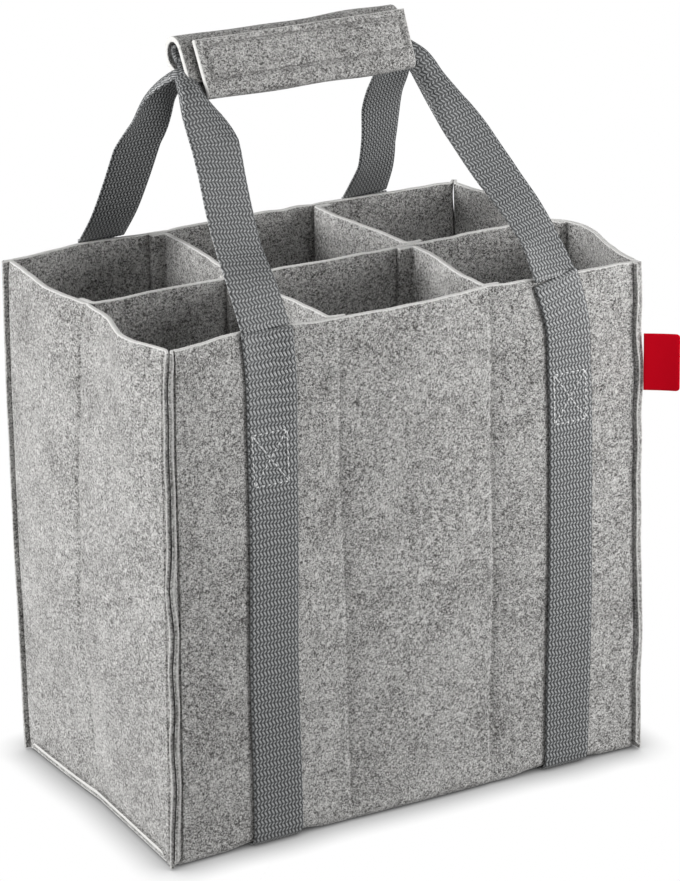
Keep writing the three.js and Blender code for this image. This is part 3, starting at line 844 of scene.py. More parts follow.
@dataclass(frozen=True)
class FasteningTape:
    """Hook or loop tape of nylon: a grey ground with rows of small raised hooks or a tangled pile."""

    name: str
    hooks: bool
    colour: str = "8d9091"
    hollow: str = "4b4d4e"
    pitch: float = 1.4 * MM
    relief: float = 0.4 * MM
    bumpiness: float = 0.7
    roughness: float = 0.8

    def make(self) -> bpy.types.Material:
        """Rows of bumps where it is hooked, and a soft tangle where it is looped."""
        made, tree, shader = new_material(self.name)
        node = partial(add_node, tree)
        place = node("TexCoord").outputs["Object"]
        if self.hooks:
            pile = node("TexVoronoi", {"Vector": place, "Scale": 1 / self.pitch,
                                       "Randomness": 0.25}).outputs["Distance"]
        else:
            pile = node("TexNoise", {"Vector": place, "Scale": 2 / self.pitch,
                                     "Detail": 3.0, "Distortion": 3.0}).outputs["Fac"]
        # With hooks the colour darkens to hollow away from each hook: painted shade between the hooks. With
        # loops the tone follows the tangle.
        colour = node("Mix", {"Factor": pile, 6: linear(self.colour), 7: linear(self.hollow)},
                      data_type="RGBA")
        bump = node("Bump", {"Height": pile, "Strength": self.bumpiness, "Distance": self.relief},
                    invert=self.hooks)
        cover(tree, shader, colour, bump, {"Roughness": self.roughness})
        return made


@dataclass
class Finishes:
    """One material for each finish of the carrier."""

    felt: bpy.types.Material = field(default_factory=PressedFelt().make)
    webbing: bpy.types.Material = field(default_factory=WovenWebbing().make)
    pale_thread: bpy.types.Material = field(default_factory=SewingThread("pale_sewing_thread", "f2f3f3").make)
    felt_thread: bpy.types.Material = field(
        default_factory=SewingThread("felt_grey_sewing_thread", "8c8b89").make)
    ribbon: bpy.types.Material = field(default_factory=SatinRibbon().make)
    hooks: bpy.types.Material = field(default_factory=FasteningTape("nylon_hook_tape", True).make)
    loops: bpy.types.Material = field(default_factory=FasteningTape("nylon_loop_tape", False).make)


class Slot(Enum):
    """Material slots."""

    FELT = "felt"
    WEBBING = "webbing"
    THREAD = "thread"
    TAPE = "fastening_tape"
    TAB = "tab"


def dress(piece: bpy.types.Object, material: bpy.types.Material, slot: Slot, *nodes: str) -> bpy.types.Object:
    """Give a piece its finish, hide the solids that it stands for and report it.

    Args:
        piece: Finished piece.
        material: Its finish.
        slot: Material slot; not used.
        nodes: Solids of the part that it replaces.

    Returns:
        The piece.
    """
    piece.data.materials.clear()
    piece.data.materials.append(material)
    if nodes:
        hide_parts(*nodes)
    LOG.info("%s: %d vertices", piece.name, len(piece.data.vertices))
    return piece


def between(near: tuple, wall: tuple, far: tuple) -> list[np.ndarray]:
    """Set a wall between two flanges that bend off at its first and its last column.

    Args:
        near: Points, directions and thickness of the first flange, from the wall outwards.
        wall: Points, directions and thickness of the wall.
        far: Points, directions and thickness of the last flange, from the wall outwards.

    Returns:
        Points, directions and thickness from cut edge to cut edge. Each flange leaves out its first column.
    """
    return [np.concatenate([a[:, :0:-1], b, c[:, 1:]], axis=1) for a, b, c in zip(near, wall, far)]


@dataclass
class FeltWalls:
    """The felt strip that is front, base and rear, and the two side panels sewn into it.

    Turns of a corner's sewn edges are in degrees, for the left and the right corner.
    """

    box: SoftBox
    finishes: Finishes
    straps: tuple[tuple[float, float], ...]
    step: float = 2.6 * MM
    bend_start: float = 3 * MM
    bend: tuple[float, float] = (1.4 * MM, 3.9 * MM)
    flare: float = math.radians(-3)
    flare_reach: tuple[float, float] = (4.4 * MM, 6 * MM)
    edge_radius: float = 0.42 * MM
    twist: float = math.radians(6)
    twist_length: float = 34 * MM
    front_turn: tuple[float, float] = (14, 34)
    rear_turn: tuple[float, float] = (-32, 0)
    pressed: float = 0.38
    pressed_reach: tuple[float, float] = (1.5 * MM, 4 * MM)
    seam_line: float = 4.4 * MM
    seam_width: float = 1.2 * MM
    seam_pinch: float = 0.06
    seam_shift: tuple[float, float] = (2.3 * MM, 0.2 * MM)
    seam_depth: tuple[float, float] = (0.75 * MM, 1.2 * MM)
    seam_wave: float = 0.5 * MM
    seam_wave_reach: float = 21 * MM
    side_seam_depth: float = 0.75 * MM
    side_seam_deepens: tuple[float, float] = (140 * MM, 230 * MM)
    side_wander: float = 0.8 * MM
    wander_length: float = 60 * MM
    thread_side: float = 0.5 * MM
    sewing: Stitching = Stitching(radius=0.2 * MM, rise=0.15 * MM)
    ragged: float = 0.16 * MM
    ragged_lengths: tuple[float, float] = (14 * MM, 22 * MM)
    drift: float = 2.0 * MM
    drift_heights: tuple[float, float] = (20 * MM, 130 * MM)
    foot_steps: tuple[float, ...] = (1.3 * MM, 2 * MM, 2.7 * MM)
    foot_tilt: float = 0.75
    corner_drop: float = 2.5 * MM
    valley_start: tuple[float, float] = (8 * MM, 16 * MM)
    crowded_height: float = 14 * MM
    flange_columns: int = 16
    panel_columns: int = 27
    side_columns: int = 28
    base_rows: int = 30

    @property
    def lengths(self) -> np.ndarray:
        """Distances along a flange from the start of its bend to its cut edge."""
        total = self.bend_start + self.box.seam_allowance
        even = np.linspace(0, total - CUT_STEPS[-1], self.flange_columns)
        return np.concatenate([even, total - CUT_STEPS[-2::-1]])

    def flange(self, angle: np.ndarray, flare: np.ndarray) -> tuple[np.ndarray, np.ndarray, np.ndarray]:
        """Bend an edge of felt outwards along a sewn corner.

        Args:
            angle: Turn of the flange at each row.
            flare: Extra turn at the cut edge of each row; below zero it closes the seam.

        Returns:
            For each row and length, how far the felt has gone sideways and outwards, and its direction's
            angle: the running sums of the cosine and sine of a turn that rises smoothly over the bend.
        """
        lengths = self.lengths
        turn = angle[:, None] * eased(lengths, *self.bend)[None, :]
        turn = turn + flare[:, None] * eased(lengths, *self.flare_reach)[None, :]
        step = np.diff(lengths, prepend=lengths[0])[None, :]
        half = np.concatenate([turn[:, :1], (turn[:, 1:] + turn[:, :-1]) / 2], axis=1)
        return np.cumsum(np.cos(half) * step, axis=1), np.cumsum(np.sin(half) * step, axis=1), turn

    def corner_wobble(self, z: np.ndarray, hand: int, face: np.ndarray | int) -> np.ndarray:
        """Turn of a corner's two sewn edges towards its long wall: its own angle and slow waves."""
        line = joined(z, 0.4 * face, 0.9 * hand)
        own = np.where(face < 0, self.front_turn[(hand + 1) // 2], self.rear_turn[(hand + 1) // 2])
        return np.radians(own) + Waves(self.twist_length, 40).at(line) * self.twist

    def pinch(self, lengths: np.ndarray) -> np.ndarray:
        """Thickness of a flange against the felt's: pressed by the seam, and a little thicker at its edge."""
        seam = bell(lengths - self.seam_line, self.seam_width)
        return 1 - self.pressed * eased(lengths, *self.pressed_reach) - self.seam_pinch * seam

    def rim_share(self, points: np.ndarray) -> np.ndarray:
        """1 at the rim, falling to 0 a few millimetres below it."""
        return eased(points[..., 2], self.box.height - RIM_REACH, self.box.height)

    def fray(self, points: np.ndarray, normal: np.ndarray) -> np.ndarray:
        """Make a cut rim slightly ragged.

        Args:
            points: Points of a sheet.
            normal: Outward direction at each of them.

        Returns:
            The points, with the rim a little up and down and in and out.
        """
        share = self.rim_share(points)
        level, swing = (Waves(length, seed).at(points) * share * self.ragged
                        for length, seed in zip(self.ragged_lengths, (11, 12)))
        moved = points + normal * swing[..., None]
        moved[..., 2] += level
        return moved

    def seam_x(self, z: np.ndarray, divider: float) -> np.ndarray:
        """Where a divider's seam runs: near the base, the first drifts to the right and the second back."""
        low = 1 - eased(z, *self.drift_heights)
        lean = self.drift if divider < 0 else -self.drift / 2
        shift = self.seam_shift[0 if divider < 0 else 1]
        wave = np.sin(z / self.seam_wave_reach + divider * 90)
        return divider + shift + lean * low + self.seam_wave * wave

    def side_seam_y(self, z: np.ndarray) -> np.ndarray:
        """Where the seam in the middle of a side runs, in slow waves."""
        return self.side_wander * Waves(self.wander_length, 21).at(joined(0, z, 0))

    def side_valley(self, z: np.ndarray) -> np.ndarray:
        """Depth of the seam of the long divider in a side: twice as deep at the rim as at the foot."""
        return self.side_seam_depth * (1 + eased(z, *self.side_seam_deepens))

    def strip_path(self) -> tuple[np.ndarray, np.ndarray, np.ndarray]:
        """Inner face of the strip from the rear rim down, under the base and up to the front rim.

        Returns:
            Y, Z and the turn of the outward direction, from 0 on the rear wall to pi on the front wall. The
            folds are quarter circles about a line inside the box.
        """
        box = self.box
        y, z, radius = box.half_depth, box.base + box.felt, box.fold_radius
        wall = spaced(z + radius, box.height, self.step)[::-1]
        turns = np.linspace(0, math.pi / 2, 9)[1:]
        base = np.linspace(y - radius, 0, self.base_rows)[1:]
        half_y = np.concatenate([np.full(len(wall), y), y - radius * (1 - np.cos(turns)), base])
        half_z = np.concatenate([wall, z + radius * (1 - np.sin(turns)), np.full(len(base), z)])
        half_turn = np.concatenate([np.zeros(len(wall)), turns, np.full(len(base), math.pi / 2)])
        return (
            np.concatenate([half_y, -half_y[-2::-1]]),
            np.concatenate([half_z, half_z[-2::-1]]),
            np.concatenate([half_turn, math.pi - half_turn[-2::-1]]),
        )

    def strip_columns(self, z: np.ndarray) -> np.ndarray:
        """X of every column between the two bends, for each height: even shares between seams that wander."""
        box = self.box
        end = box.half_width - box.gap * math.sqrt(0.5) - self.bend_start
        marks = joined(-end, self.seam_x(z, box.first_divider), self.seam_x(z, box.second_divider), end)
        shares = np.linspace(0, 1, self.panel_columns)[None, :]
        runs = []
        for low, high in zip(marks[:, :-1].T, marks[:, 1:].T):
            start, end = low[:, None], high[:, None]
            inside = (start + NEAR_SEAM[-1]) + (end - start - 2 * NEAR_SEAM[-1]) * shares
            runs += [start, start + NEAR_SEAM[:-1], inside, end - NEAR_SEAM[-2::-1]]
        return np.concatenate([*runs, marks[:, 3:]], axis=1)

    def settled(self, name: str, inner: np.ndarray, outer: np.ndarray) -> bpy.types.Object:
        """Let both faces sag to the ground and slump with the box, and close them to a sheet.

        Args:
            name: Name of the piece.
            inner: Grid of points of its inner face.
            outer: Grid of points of its outer face.

        Returns:
            The sheet, whose side edges are sewn.
        """
        faces = [self.box.stand(self.box.grounded(face, self.straps)) for face in (inner, outer)]
        return closed_sheet(name, *faces, self.edge_radius, lie=Edge.SEWN)

    def strip(self) -> bpy.types.Object:
        """Build the strip: its side edges bend out by an eighth of a turn on the walls, not on the base."""
        box, lengths = self.box, self.lengths
        y, z, turn = self.strip_path()
        inside = self.strip_columns(z)
        upright = 1 - np.sin(turn)
        out = joined(0, np.cos(turn), -np.sin(turn))[:, None, :]
        allowance = box.base_allowance + (box.seam_allowance - box.base_allowance) * upright
        flat = self.bend_start + (lengths - self.bend_start) * (allowance / box.seam_allowance)[:, None]
        shrink = np.where(lengths > self.bend_start, flat / np.maximum(lengths, MM), 1)
        sides = []
        for hand in Hand:
            wobble = self.corner_wobble(z, hand.value, np.sign(y)) * upright
            sideways, outwards, direction = self.flange(math.pi / 4 * upright + wobble, self.flare * upright)
            edge_x = np.abs(inside[:, :1] if hand is Hand.LEFT else inside[:, -1:])
            point = joined(hand.value * (edge_x + sideways * shrink), y[:, None], z[:, None])
            point = point + out * (outwards * shrink)[..., None]
            side = np.array([hand.value, 0, 0])
            normal = out * np.cos(direction)[..., None] - side * np.sin(direction)[..., None]
            sides.append((point, normal, self.pinch(lengths) * np.ones((len(z), 1)) * box.felt))
        wall = joined(inside, y[:, None], z[:, None])
        dip = np.zeros(inside.shape)
        for divider, depth in zip((box.first_divider, box.second_divider), self.seam_depth):
            dip += seam_profile(inside - self.seam_x(z, divider)[:, None], depth) * upright[:, None]
        middle = (wall, np.broadcast_to(out, wall.shape), box.felt + dip)
        inner, normal, thick = between(sides[0], middle, sides[1])
        inner = self.fray(inner, normal)
        thick = thick * (1 - box.rim_press * self.rim_share(inner))
        return self.settled("felt_front_base_rear", inner, inner + normal * thick[..., None])

    def side_panel(self, hand: Hand) -> bpy.types.Object:
        """Build a side panel, whose upright edges and lower edge turn outwards.

        Args:
            hand: Which side.

        Returns:
            The panel. Its lower edge lies flat on the edge of the base, and drops over the fold at a corner.
        """
        box, sign, lengths = self.box, hand.value, self.lengths
        foot_y = box.half_depth - box.fold_radius - box.felt
        end = box.half_depth - box.gap * math.sqrt(0.5) - self.bend_start
        seam_z = box.base + box.felt + box.gap
        levels = spaced(seam_z, box.height, self.step)[3:]
        foot = 1 - np.append(CUT_STEPS, self.foot_steps) / box.base_allowance
        rows_z = np.concatenate([np.full(len(foot), seam_z), levels])
        rows_foot = np.concatenate([foot, np.zeros(len(levels))])
        half = np.concatenate([NEAR_SEAM[:-1], np.linspace(NEAR_SEAM[-1], end, self.side_columns)])
        inside = np.concatenate([-half[::-1], [0], half])
        flanges = []
        for face in (-1, 1):
            wobble = self.corner_wobble(rows_z, sign, face)
            angle, flare = math.pi / 4 - wobble, np.full(len(rows_z), self.flare)
            sideways, outwards, direction = self.flange(angle, flare)
            point = joined(sign * (box.half_width + outwards), face * (end + sideways), rows_z[:, None])
            normal = joined(sign * np.cos(direction), -face * np.sin(direction), 0 * direction)
            flanges.append((point, normal, self.pinch(lengths) * np.ones((len(rows_z), 1)) * box.felt))
        grid_y, grid_z = np.meshgrid(inside, rows_z)
        wall = joined(sign * box.half_width, grid_y, grid_z)
        past_seam = sign * (grid_y - self.side_seam_y(rows_z)[:, None])
        dip = seam_profile(past_seam, self.side_valley(rows_z)[:, None])
        dip = dip * eased(rows_z, *self.valley_start)[:, None]
        middle = (wall, np.broadcast_to(np.array([sign, 0.0, 0.0]), wall.shape), box.felt + dip)
        inner, normal, thick = between(flanges[0], middle, flanges[1])
        corner = eased(np.abs(inner[..., 1]), foot_y - 3 * MM, foot_y + 1 * MM)
        lowest = (rows_z[:, None] < seam_z + 0.1 * MM) * np.ones_like(corner)
        share = rows_foot[:, None] * np.ones_like(corner)
        inner = self.fray(inner, normal)
        thick = (thick * (1 - box.rim_press * self.rim_share(inner)))[..., None]
        inner[..., 2] -= lowest * corner * share * self.corner_drop
        inner[..., 0] += sign * box.base_allowance * share * (1 - corner)
        up = np.array([0, 0, 1.0])
        upward = (lowest * (share > 0) * (1 - corner) * self.foot_tilt)[..., None]
        outer = inner + normal * thick * (1 - upward) + up * upward * thick
        outer = outer + up * (lowest * (share == 0) * (1 - corner))[..., None] * thick
        crowded = (1 - lowest) * (1 - corner) * (1 - eased(inner[..., 2], seam_z, self.crowded_height))
        outer[..., 2] += crowded * box.felt
        return self.settled(f"felt_side_{hand.name.lower()}", inner, outer)

    def seam_lines(self) -> list[tuple[np.ndarray, np.ndarray]]:
        """Paths and normals of the threads that hold the dividers to the walls."""
        box = self.box
        z = np.arange(16 * MM, box.height - 2 * MM, 1 * MM)
        lines = []
        for face in Face:
            for divider, valley in zip((box.first_divider, box.second_divider), self.seam_depth):
                y = face.value * (box.half_depth + box.felt - valley)
                path = joined(self.seam_x(z, divider) + self.thread_side, y, z)
                lines.append((box.stand(path), np.tile([0.0, face.value, 0.0], (len(z), 1))))
        for hand in Hand:
            x = hand.value * (box.half_width + box.felt - self.side_valley(z))
            path = joined(x, self.side_seam_y(z) - hand.value * self.thread_side, z)
            lines.append((box.stand(path), np.tile([float(hand.value), 0.0, 0.0], (len(z), 1))))
        return lines

    def build(self) -> None:
        """Build and dress the walls and the threads of the dividers' seams."""
        felt = self.finishes.felt
        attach(dress(self.strip(), felt, Slot.FELT, "body_wrap"), "carrier")
        for hand in Hand:
            node = f"side_panel_{hand.name.lower()}"
            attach(dress(self.side_panel(hand), felt, Slot.FELT, node), "carrier")
        threads = self.sewing.mesh("divider_seam_threads", self.seam_lines())
        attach(dress(threads, self.finishes.felt_thread, Slot.THREAD), "carrier")


def rounded_route(corners: np.ndarray, radius: float, step: float) -> tuple[np.ndarray, np.ndarray]:
    """Follow a line of straight runs with rounded corners, seen from above.

    Args:
        corners: Corner points, N by 2.
        radius: Radius of each bend.
        step: Widest distance between two points.

    Returns:
        Points along the route and its direction at each of them. A corner is a quadratic curve that leaves
        each straight run at the radius' distance from the corner.
    """
    def run(tip: np.ndarray, end: np.ndarray) -> np.ndarray:
        """Points of a straight run after its tip."""
        count = max(2, math.ceil(np.linalg.norm(end - tip) / step))
        return tip + (end - tip) * np.linspace(0, 1, count + 1)[1:, None]

    first, last = corners[0], corners[-1]
    out, back = unit(corners[1] - first), unit(corners[-2] - last)
    points = [first + out * d for d in CUT_STEPS]
    t = np.linspace(0, 1, 7)[1:, None]
    for before, here, after in zip(corners[:-2], corners[1:-1], corners[2:]):
        start, end = here - unit(here - before) * radius, here + unit(after - here) * radius
        points.extend(run(points[-1], start))
        points.extend((1 - t) ** 2 * start + 2 * t * (1 - t) * here + t**2 * end)
    points.extend(run(points[-1], last + back * CUT_STEPS[-1]))
    points.extend(last + back * d for d in CUT_STEPS[-2::-1])
    route = np.array(points)
    return route, unit(np.gradient(route, axis=0))


@dataclass(frozen=True)
class CrossDivider:
    """One short divider: its cell, where it stands, how its flanges fold and how far it leans at the rim."""

    cell: str
    x: float
    face: Face
    wall_fold: int
    middle_fold: int
    lean: float


@dataclass
class Dividers:
    """The felt walls between the cells, each with a folded flange at both ends."""

    box: SoftBox
    finishes: Finishes
    step: float = 3 * MM
    bend: float = 2.4 * MM
    ripple: float = 0.5 * MM
    ripple_length: float = 48 * MM
    ragged: float = 0.16 * MM
    ragged_length: float = 14 * MM
    held_ends: float = 8 * MM
    cross: tuple[CrossDivider, ...] = (
        CrossDivider("front_left", -39 * MM, Face.FRONT, 1, -1, -4 * MM),
        CrossDivider("front_right", 41 * MM, Face.FRONT, 1, -1, 5.5 * MM),
        CrossDivider("rear_left", -39 * MM, Face.REAR, -1, -1, -4 * MM),
        CrossDivider("rear_right", 41 * MM, Face.REAR, 1, 1, 5.5 * MM),
    )

    def upright(self, name: str, corners: list[tuple[float, float]], lean: float,
                seed: int) -> bpy.types.Object:
        """Build one divider from its middle line, seen from above.

        Args:
            name: Name of the piece.
            corners: Corners of the middle line, from one cut edge to the other.
            lean: How far the inner end has moved along X at the rim.
            seed: Which ripple it has.

        Returns:
            The divider, its two faces half the felt's thickness from the line.
        """
        box = self.box
        route, direction = rounded_route(np.array(corners), self.bend, self.step)
        levels = spaced(box.base + box.felt + box.fold_radius + box.gap, box.height, self.step)
        rise = (levels / box.height)[:, None]
        inward = 1 - eased(np.abs(route[:, 1]), self.held_ends, box.half_depth - self.held_ends)
        middle = joined(route[None, :, 0] + lean * inward[None, :] * rise, route[None, :, 1], levels[:, None])
        normal = joined(-direction[:, 1], direction[:, 0], 0)
        rim = eased(levels, box.height - RIM_REACH, box.height)
        ripple = Waves(self.ripple_length, seed).at(middle) * self.ripple * rise
        frayed = Waves(self.ragged_length, seed + 1).at(middle) * rim[:, None]
        middle = middle + normal * ripple[..., None]
        middle[..., 2] += frayed * self.ragged
        side = normal * (box.felt / 2 * (1 - box.rim_press * rim))[:, None, None]
        return closed_sheet(name, box.stand(middle - side), box.stand(middle + side), lie=Edge.PRESSED)

    def build(self) -> None:
        """Build and dress the long divider and the four cross dividers."""
        box, felt = self.box, self.finishes.felt
        end = box.half_width - box.gap - box.felt / 2
        fold = box.flange + box.felt / 2
        corners = [(-end, fold), (-end, 0), (end, 0), (end, -fold)]
        long_piece = self.upright("felt_divider_long", corners, 0, 60)
        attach(dress(long_piece, felt, Slot.FELT, "long_divider"), "carrier")
        for seed, spec in enumerate(self.cross):
            wall = spec.face.value * (box.half_depth - box.gap - box.felt / 2)
            middle = spec.face.value * (box.felt + box.gap)
            corners = [
                (spec.x + spec.wall_fold * box.flange, wall), (spec.x, wall),
                (spec.x, middle), (spec.x + spec.middle_fold * box.flange, middle),
            ]
            piece = self.upright(f"felt_divider_{spec.cell}", corners, spec.lean, 70 + 2 * seed)
            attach(dress(piece, felt, Slot.FELT, f"cross_divider_{spec.cell}"), "carrier")


@dataclass(frozen=True)
class Ribbon:
    """Webbing as a band with round selvedges and fine lengthwise ribs."""

    width: float = 24 * MM
    thickness: float = 1.5 * MM
    rib: float = 24 * MM / 14
    rib_depth: float = 0.07 * MM
    ribbed_from: float = 0.5 * MM
    squareness: int = 14
    full_turn: float = math.radians(140)
    gutter_depth: float = 0.6
    across: int = 57

    def places(self) -> np.ndarray:
        """Places across one face, from -1 to 1, closer together at the selvedges."""
        inside = np.linspace(-0.95, 0.95, self.across)
        return np.concatenate([[-1, -0.995, -0.975], inside, [0.975, 0.995, 1]])

    def build(self, name: str, centre: np.ndarray, wide: np.ndarray, normal: np.ndarray,
              curl: np.ndarray, start: float = 0.0) -> bpy.types.Object:
        """Sweep the band along a path.

        Args:
            name: Name of the piece.
            centre: Middle of the band at each step.
            wide: Direction across the band at each step.
            normal: Direction out of its upper face.
            curl: How far the band is rolled up lengthwise at each step, from 0, flat, to 1, a tight gutter.
            start: Length of webbing before the first step, which sets where the weave begins.

        Returns:
            The band. Its section is an arc of the band's own width whose turn grows with the curl; its half
            thickness is that of a flat oval with shallow ribs.
        """
        share = self.places()
        width = share * self.width / 2
        half = self.thickness / 2 * np.sqrt(np.clip(1 - np.abs(share) ** self.squareness, 0, 1))
        valley = self.rib_depth * (1 - np.abs(np.sin(math.pi * width / self.rib)))
        half = half - valley * (half > self.ribbed_from)
        turn = np.maximum(curl * self.full_turn, 1e-4)[:, None]
        radius = self.width / 2 / turn
        angle = turn * share[None, :]
        sideways = radius * np.sin(angle)
        inwards = -radius * (1 - np.cos(angle)) * self.gutter_depth
        middle = centre[:, None] + wide[:, None] * sideways[..., None] + normal[:, None] * inwards[..., None]
        tilt = normal[:, None] * np.cos(angle)[..., None] + wide[:, None] * np.sin(angle)[..., None]
        upper = middle + tilt * half[None, :, None]
        lower = middle - tilt * half[None, :, None]
        rows, columns = upper.shape[:2]
        ring = np.concatenate([upper, lower[:, -2:0:-1]], axis=1)
        count = ring.shape[1]
        index = np.arange(rows * count).reshape(rows, count)
        following = np.roll(index, -1, axis=1)
        walls = np.stack([index[:-1], following[:-1], following[1:], index[1:]], axis=-1).reshape(-1, 4)
        top = np.arange(columns)
        below = np.concatenate([[0], np.arange(count - 1, columns - 1, -1), [columns - 1]])
        cap = np.stack([top[:-1], below[:-1], below[1:], top[1:]], axis=-1)
        made = new_object(name, ring, np.concatenate([walls, cap, cap[:, ::-1] + (rows - 1) * count]))
        place = np.concatenate([width, width[-2:0:-1]])
        gone = start + gone_along(centre)
        set_attribute(made, "weave", joined(place[None], gone[:, None], 0).reshape(-1, 3))
        return made


@dataclass(frozen=True)
class Leg:
    """A free stretch of webbing from the rim to the grip, and the stretch sewn below it.

    The route gives places from the middle of the box in millimetres. At the rim and at each of them the band
    has a curl and is rolled by some degrees. The sway moves the sewn stretch along X at five heights, in
    millimetres.
    """

    name: str
    x: float
    face: Face
    route: tuple[tuple[float, float, float], ...]
    curl: tuple[float, ...]
    roll: tuple[float, ...]
    sway: tuple[float, ...] = (0, 0, 0, 0, 0)
    width: float = 24 * MM


@dataclass
class Straps:
    """The two handles' webbing: under the base, up the walls and free to the grip."""

    box: SoftBox
    finishes: Finishes
    ribbon: Ribbon = Ribbon()
    step: float = 2 * MM
    drop: float = 79 * MM
    sway_heights: tuple[float, ...] = (0, 104 * MM, 196 * MM, 219 * MM, 240 * MM)
    stitch_width: float = 16.6 * MM
    stitch_height: float = 23.4 * MM
    stitch_middle: float = 183.3 * MM
    thread_sink: float = 0.1 * MM
    sewing: Stitching = Stitching(pitch=2.9 * MM, length=2.2 * MM, radius=0.42 * MM, rise=0.65 * MM)
    legs: tuple[Leg, ...] = (
        Leg("front_left", -73 * MM, Face.FRONT,
            ((-71.4, -65, 257), (-70.6, -52, 270.5), (-69.3, -42, 284), (-67.7, -33, 298), (-66, -24, 311),
             (-66, -15.5, 322.3), (-65.8, -8, 330.3), (-63.5, 2, 335)),
            (0, 0, 0, 0, 0, 0.05, 0.38, 0.78, 0.95), (0, -2, -8, -6, -6, -1, -10, -20, -20),
            (0.4, -0.4, 2.1, 2.8, 2.2)),
        Leg("front_right", 80 * MM, Face.FRONT,
            ((72.7, -70, 255), (69.1, -60, 268), (63.7, -46, 283), (59.3, -33, 298), (55.5, -22.7, 311),
             (52, -12, 321.5), (48.5, -4.5, 329.5), (43.5, 2, 334)),
            (0, 0, 0, 0, 0.12, 0.45, 0.75, 0.9, 0.95), (-2, -10, -5, 0, 0, 3, 12, 25, 30),
            (-1.1, 0.2, 0.5, -0.3, -5.8), 23 * MM),
        Leg("rear_left", -71 * MM, Face.REAR,
            ((-68.8, 71, 256), (-68.8, 58, 274), (-69.4, 44, 294), (-69.5, 32, 311), (-69.5, 22, 324.7),
             (-67.5, 15.5, 331.5), (-64.5, 10, 336), (-58, 5, 338.5)),
            (0, 0, 0, 0, 0.45, 0.66, 0.75, 0.85, 0.95), (0, 0, 0, 0, 0, 0, 4, 8, 12), (0, 0, 0, 1, 3)),
        Leg("rear_right", 71 * MM, Face.REAR,
            ((67.5, 70, 253), (63, 57, 267), (58, 45, 283), (53, 34, 300), (49, 23, 313),
             (46.5, 15, 324), (45, 9, 333), (41, 5, 339)),
            (0, 0, 0, 0, 0, 0.15, 0.4, 0.7, 0.95), (0, 7, 19, 18, 12, 9, 8, 0, -10)),
    )

    @property
    def turn_radius(self) -> float:
        """Radius of the webbing's turn under the lower edge, to its middle."""
        return self.box.fold_radius + self.box.felt + self.box.gap + self.box.webbing / 2

    def wall_path(self, leg: Leg) -> tuple[np.ndarray, np.ndarray]:
        """Middle line of the webbing sewn to a wall, from the base to the rim.

        Args:
            leg: The strap.

        Returns:
            Points and outward directions, from the middle of the straight box: a quarter circle and a
            straight run.
        """
        box, radius = self.box, self.turn_radius
        y = box.half_depth + box.felt + box.gap + box.webbing / 2
        turns = np.linspace(math.pi / 2, 0, 8)
        wall = np.linspace(box.webbing / 2 + radius, box.height, 118)[1:]
        path_y = np.concatenate([y - radius + radius * np.cos(turns), np.full(len(wall), y)])
        path_z = np.concatenate([box.webbing / 2 + radius * (1 - np.sin(turns)), wall])
        turn = np.concatenate([turns, np.zeros(len(wall))])
        sway = curve_through(np.array(self.sway_heights), np.array(leg.sway) * MM, path_z)
        path = joined(leg.x + sway, leg.face.value * path_y, path_z)
        return path, joined(0, leg.face.value * np.cos(turn), -np.sin(turn))

    def level_across(self, path: np.ndarray) -> np.ndarray:
        """Directions across a band that follows a path: X less its share along the path."""
        tangent = unit(np.gradient(path, axis=0))
        return unit(np.array([1.0, 0.0, 0.0]) - tangent * tangent[:, :1])

    def lay(self, piece: bpy.types.Object, node: str) -> None:
        """Let a stretch of webbing that was built on the straight box slump with it, and dress it."""
        piece.data.vertices.foreach_set("co", self.box.stand(vertex_places(piece)).ravel())
        piece.data.update()
        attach(dress(piece, self.finishes.webbing, Slot.WEBBING, node), "carrier")

    def sewn(self, leg: Leg) -> None:
        """Build the stretch that is sewn to a wall."""
        path, normal = self.wall_path(leg)
        band = replace(self.ribbon, width=leg.width)
        flat = np.zeros(len(path))
        piece = band.build(f"webbing_on_wall_{leg.name}", path, self.level_across(path), normal, flat)
        self.lay(piece, f"sewn_webbing_{leg.name}")

    def under(self, hand: Hand) -> None:
        """Build the stretch under the base, from the front turn to the rear turn."""
        side = hand.name.lower()
        front, rear = (self.wall_path(leg)[0][0] for leg in self.legs if leg.name.endswith(side))
        path = front + (rear - front) * np.linspace(0, 1, 40)[:, None]
        path[:, 2] = self.box.webbing / 2
        wide, down = (np.tile(way, (len(path), 1)) for way in ([1.0, 0.0, 0.0], [0.0, 0.0, -1.0]))
        piece = self.ribbon.build(f"webbing_under_{side}", path, wide, down, np.zeros(len(path)))
        self.lay(piece, f"base_webbing_{side}")

    def free(self, leg: Leg) -> None:
        """Build the free leg, which curls more as it nears the grip.

        Args:
            leg: The strap. Its weave goes on from the sewn stretch.
        """
        path, _ = self.wall_path(leg)
        given = np.array(leg.route) * MM + np.array([*self.box.middle, 0.0])
        knots = np.concatenate([self.box.stand(path[-1:]), given])
        gone = gone_along(knots)
        at = np.arange(0, gone[-1], self.step)
        centre = curve_through(gone, knots, at)
        wide = self.level_across(centre)
        normal = unit(np.cross(np.gradient(centre, axis=0), wide))
        normal = normal * np.sign((normal * [0, leg.face.value, 0.4]).sum(axis=1, keepdims=True))
        roll = np.radians(np.interp(at, gone, leg.roll))[:, None]
        turned = wide * np.cos(roll) + normal * np.sin(roll)
        facing = normal * np.cos(roll) - wide * np.sin(roll)
        curl = np.interp(at, gone, leg.curl)
        band = replace(self.ribbon, width=leg.width)
        piece = band.build(f"webbing_leg_{leg.name}", centre, turned, facing, curl, gone_along(path)[-1])
        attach(dress(piece, self.finishes.webbing, Slot.WEBBING, f"handle_leg_{leg.name}"), "carrier")
        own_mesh(piece)

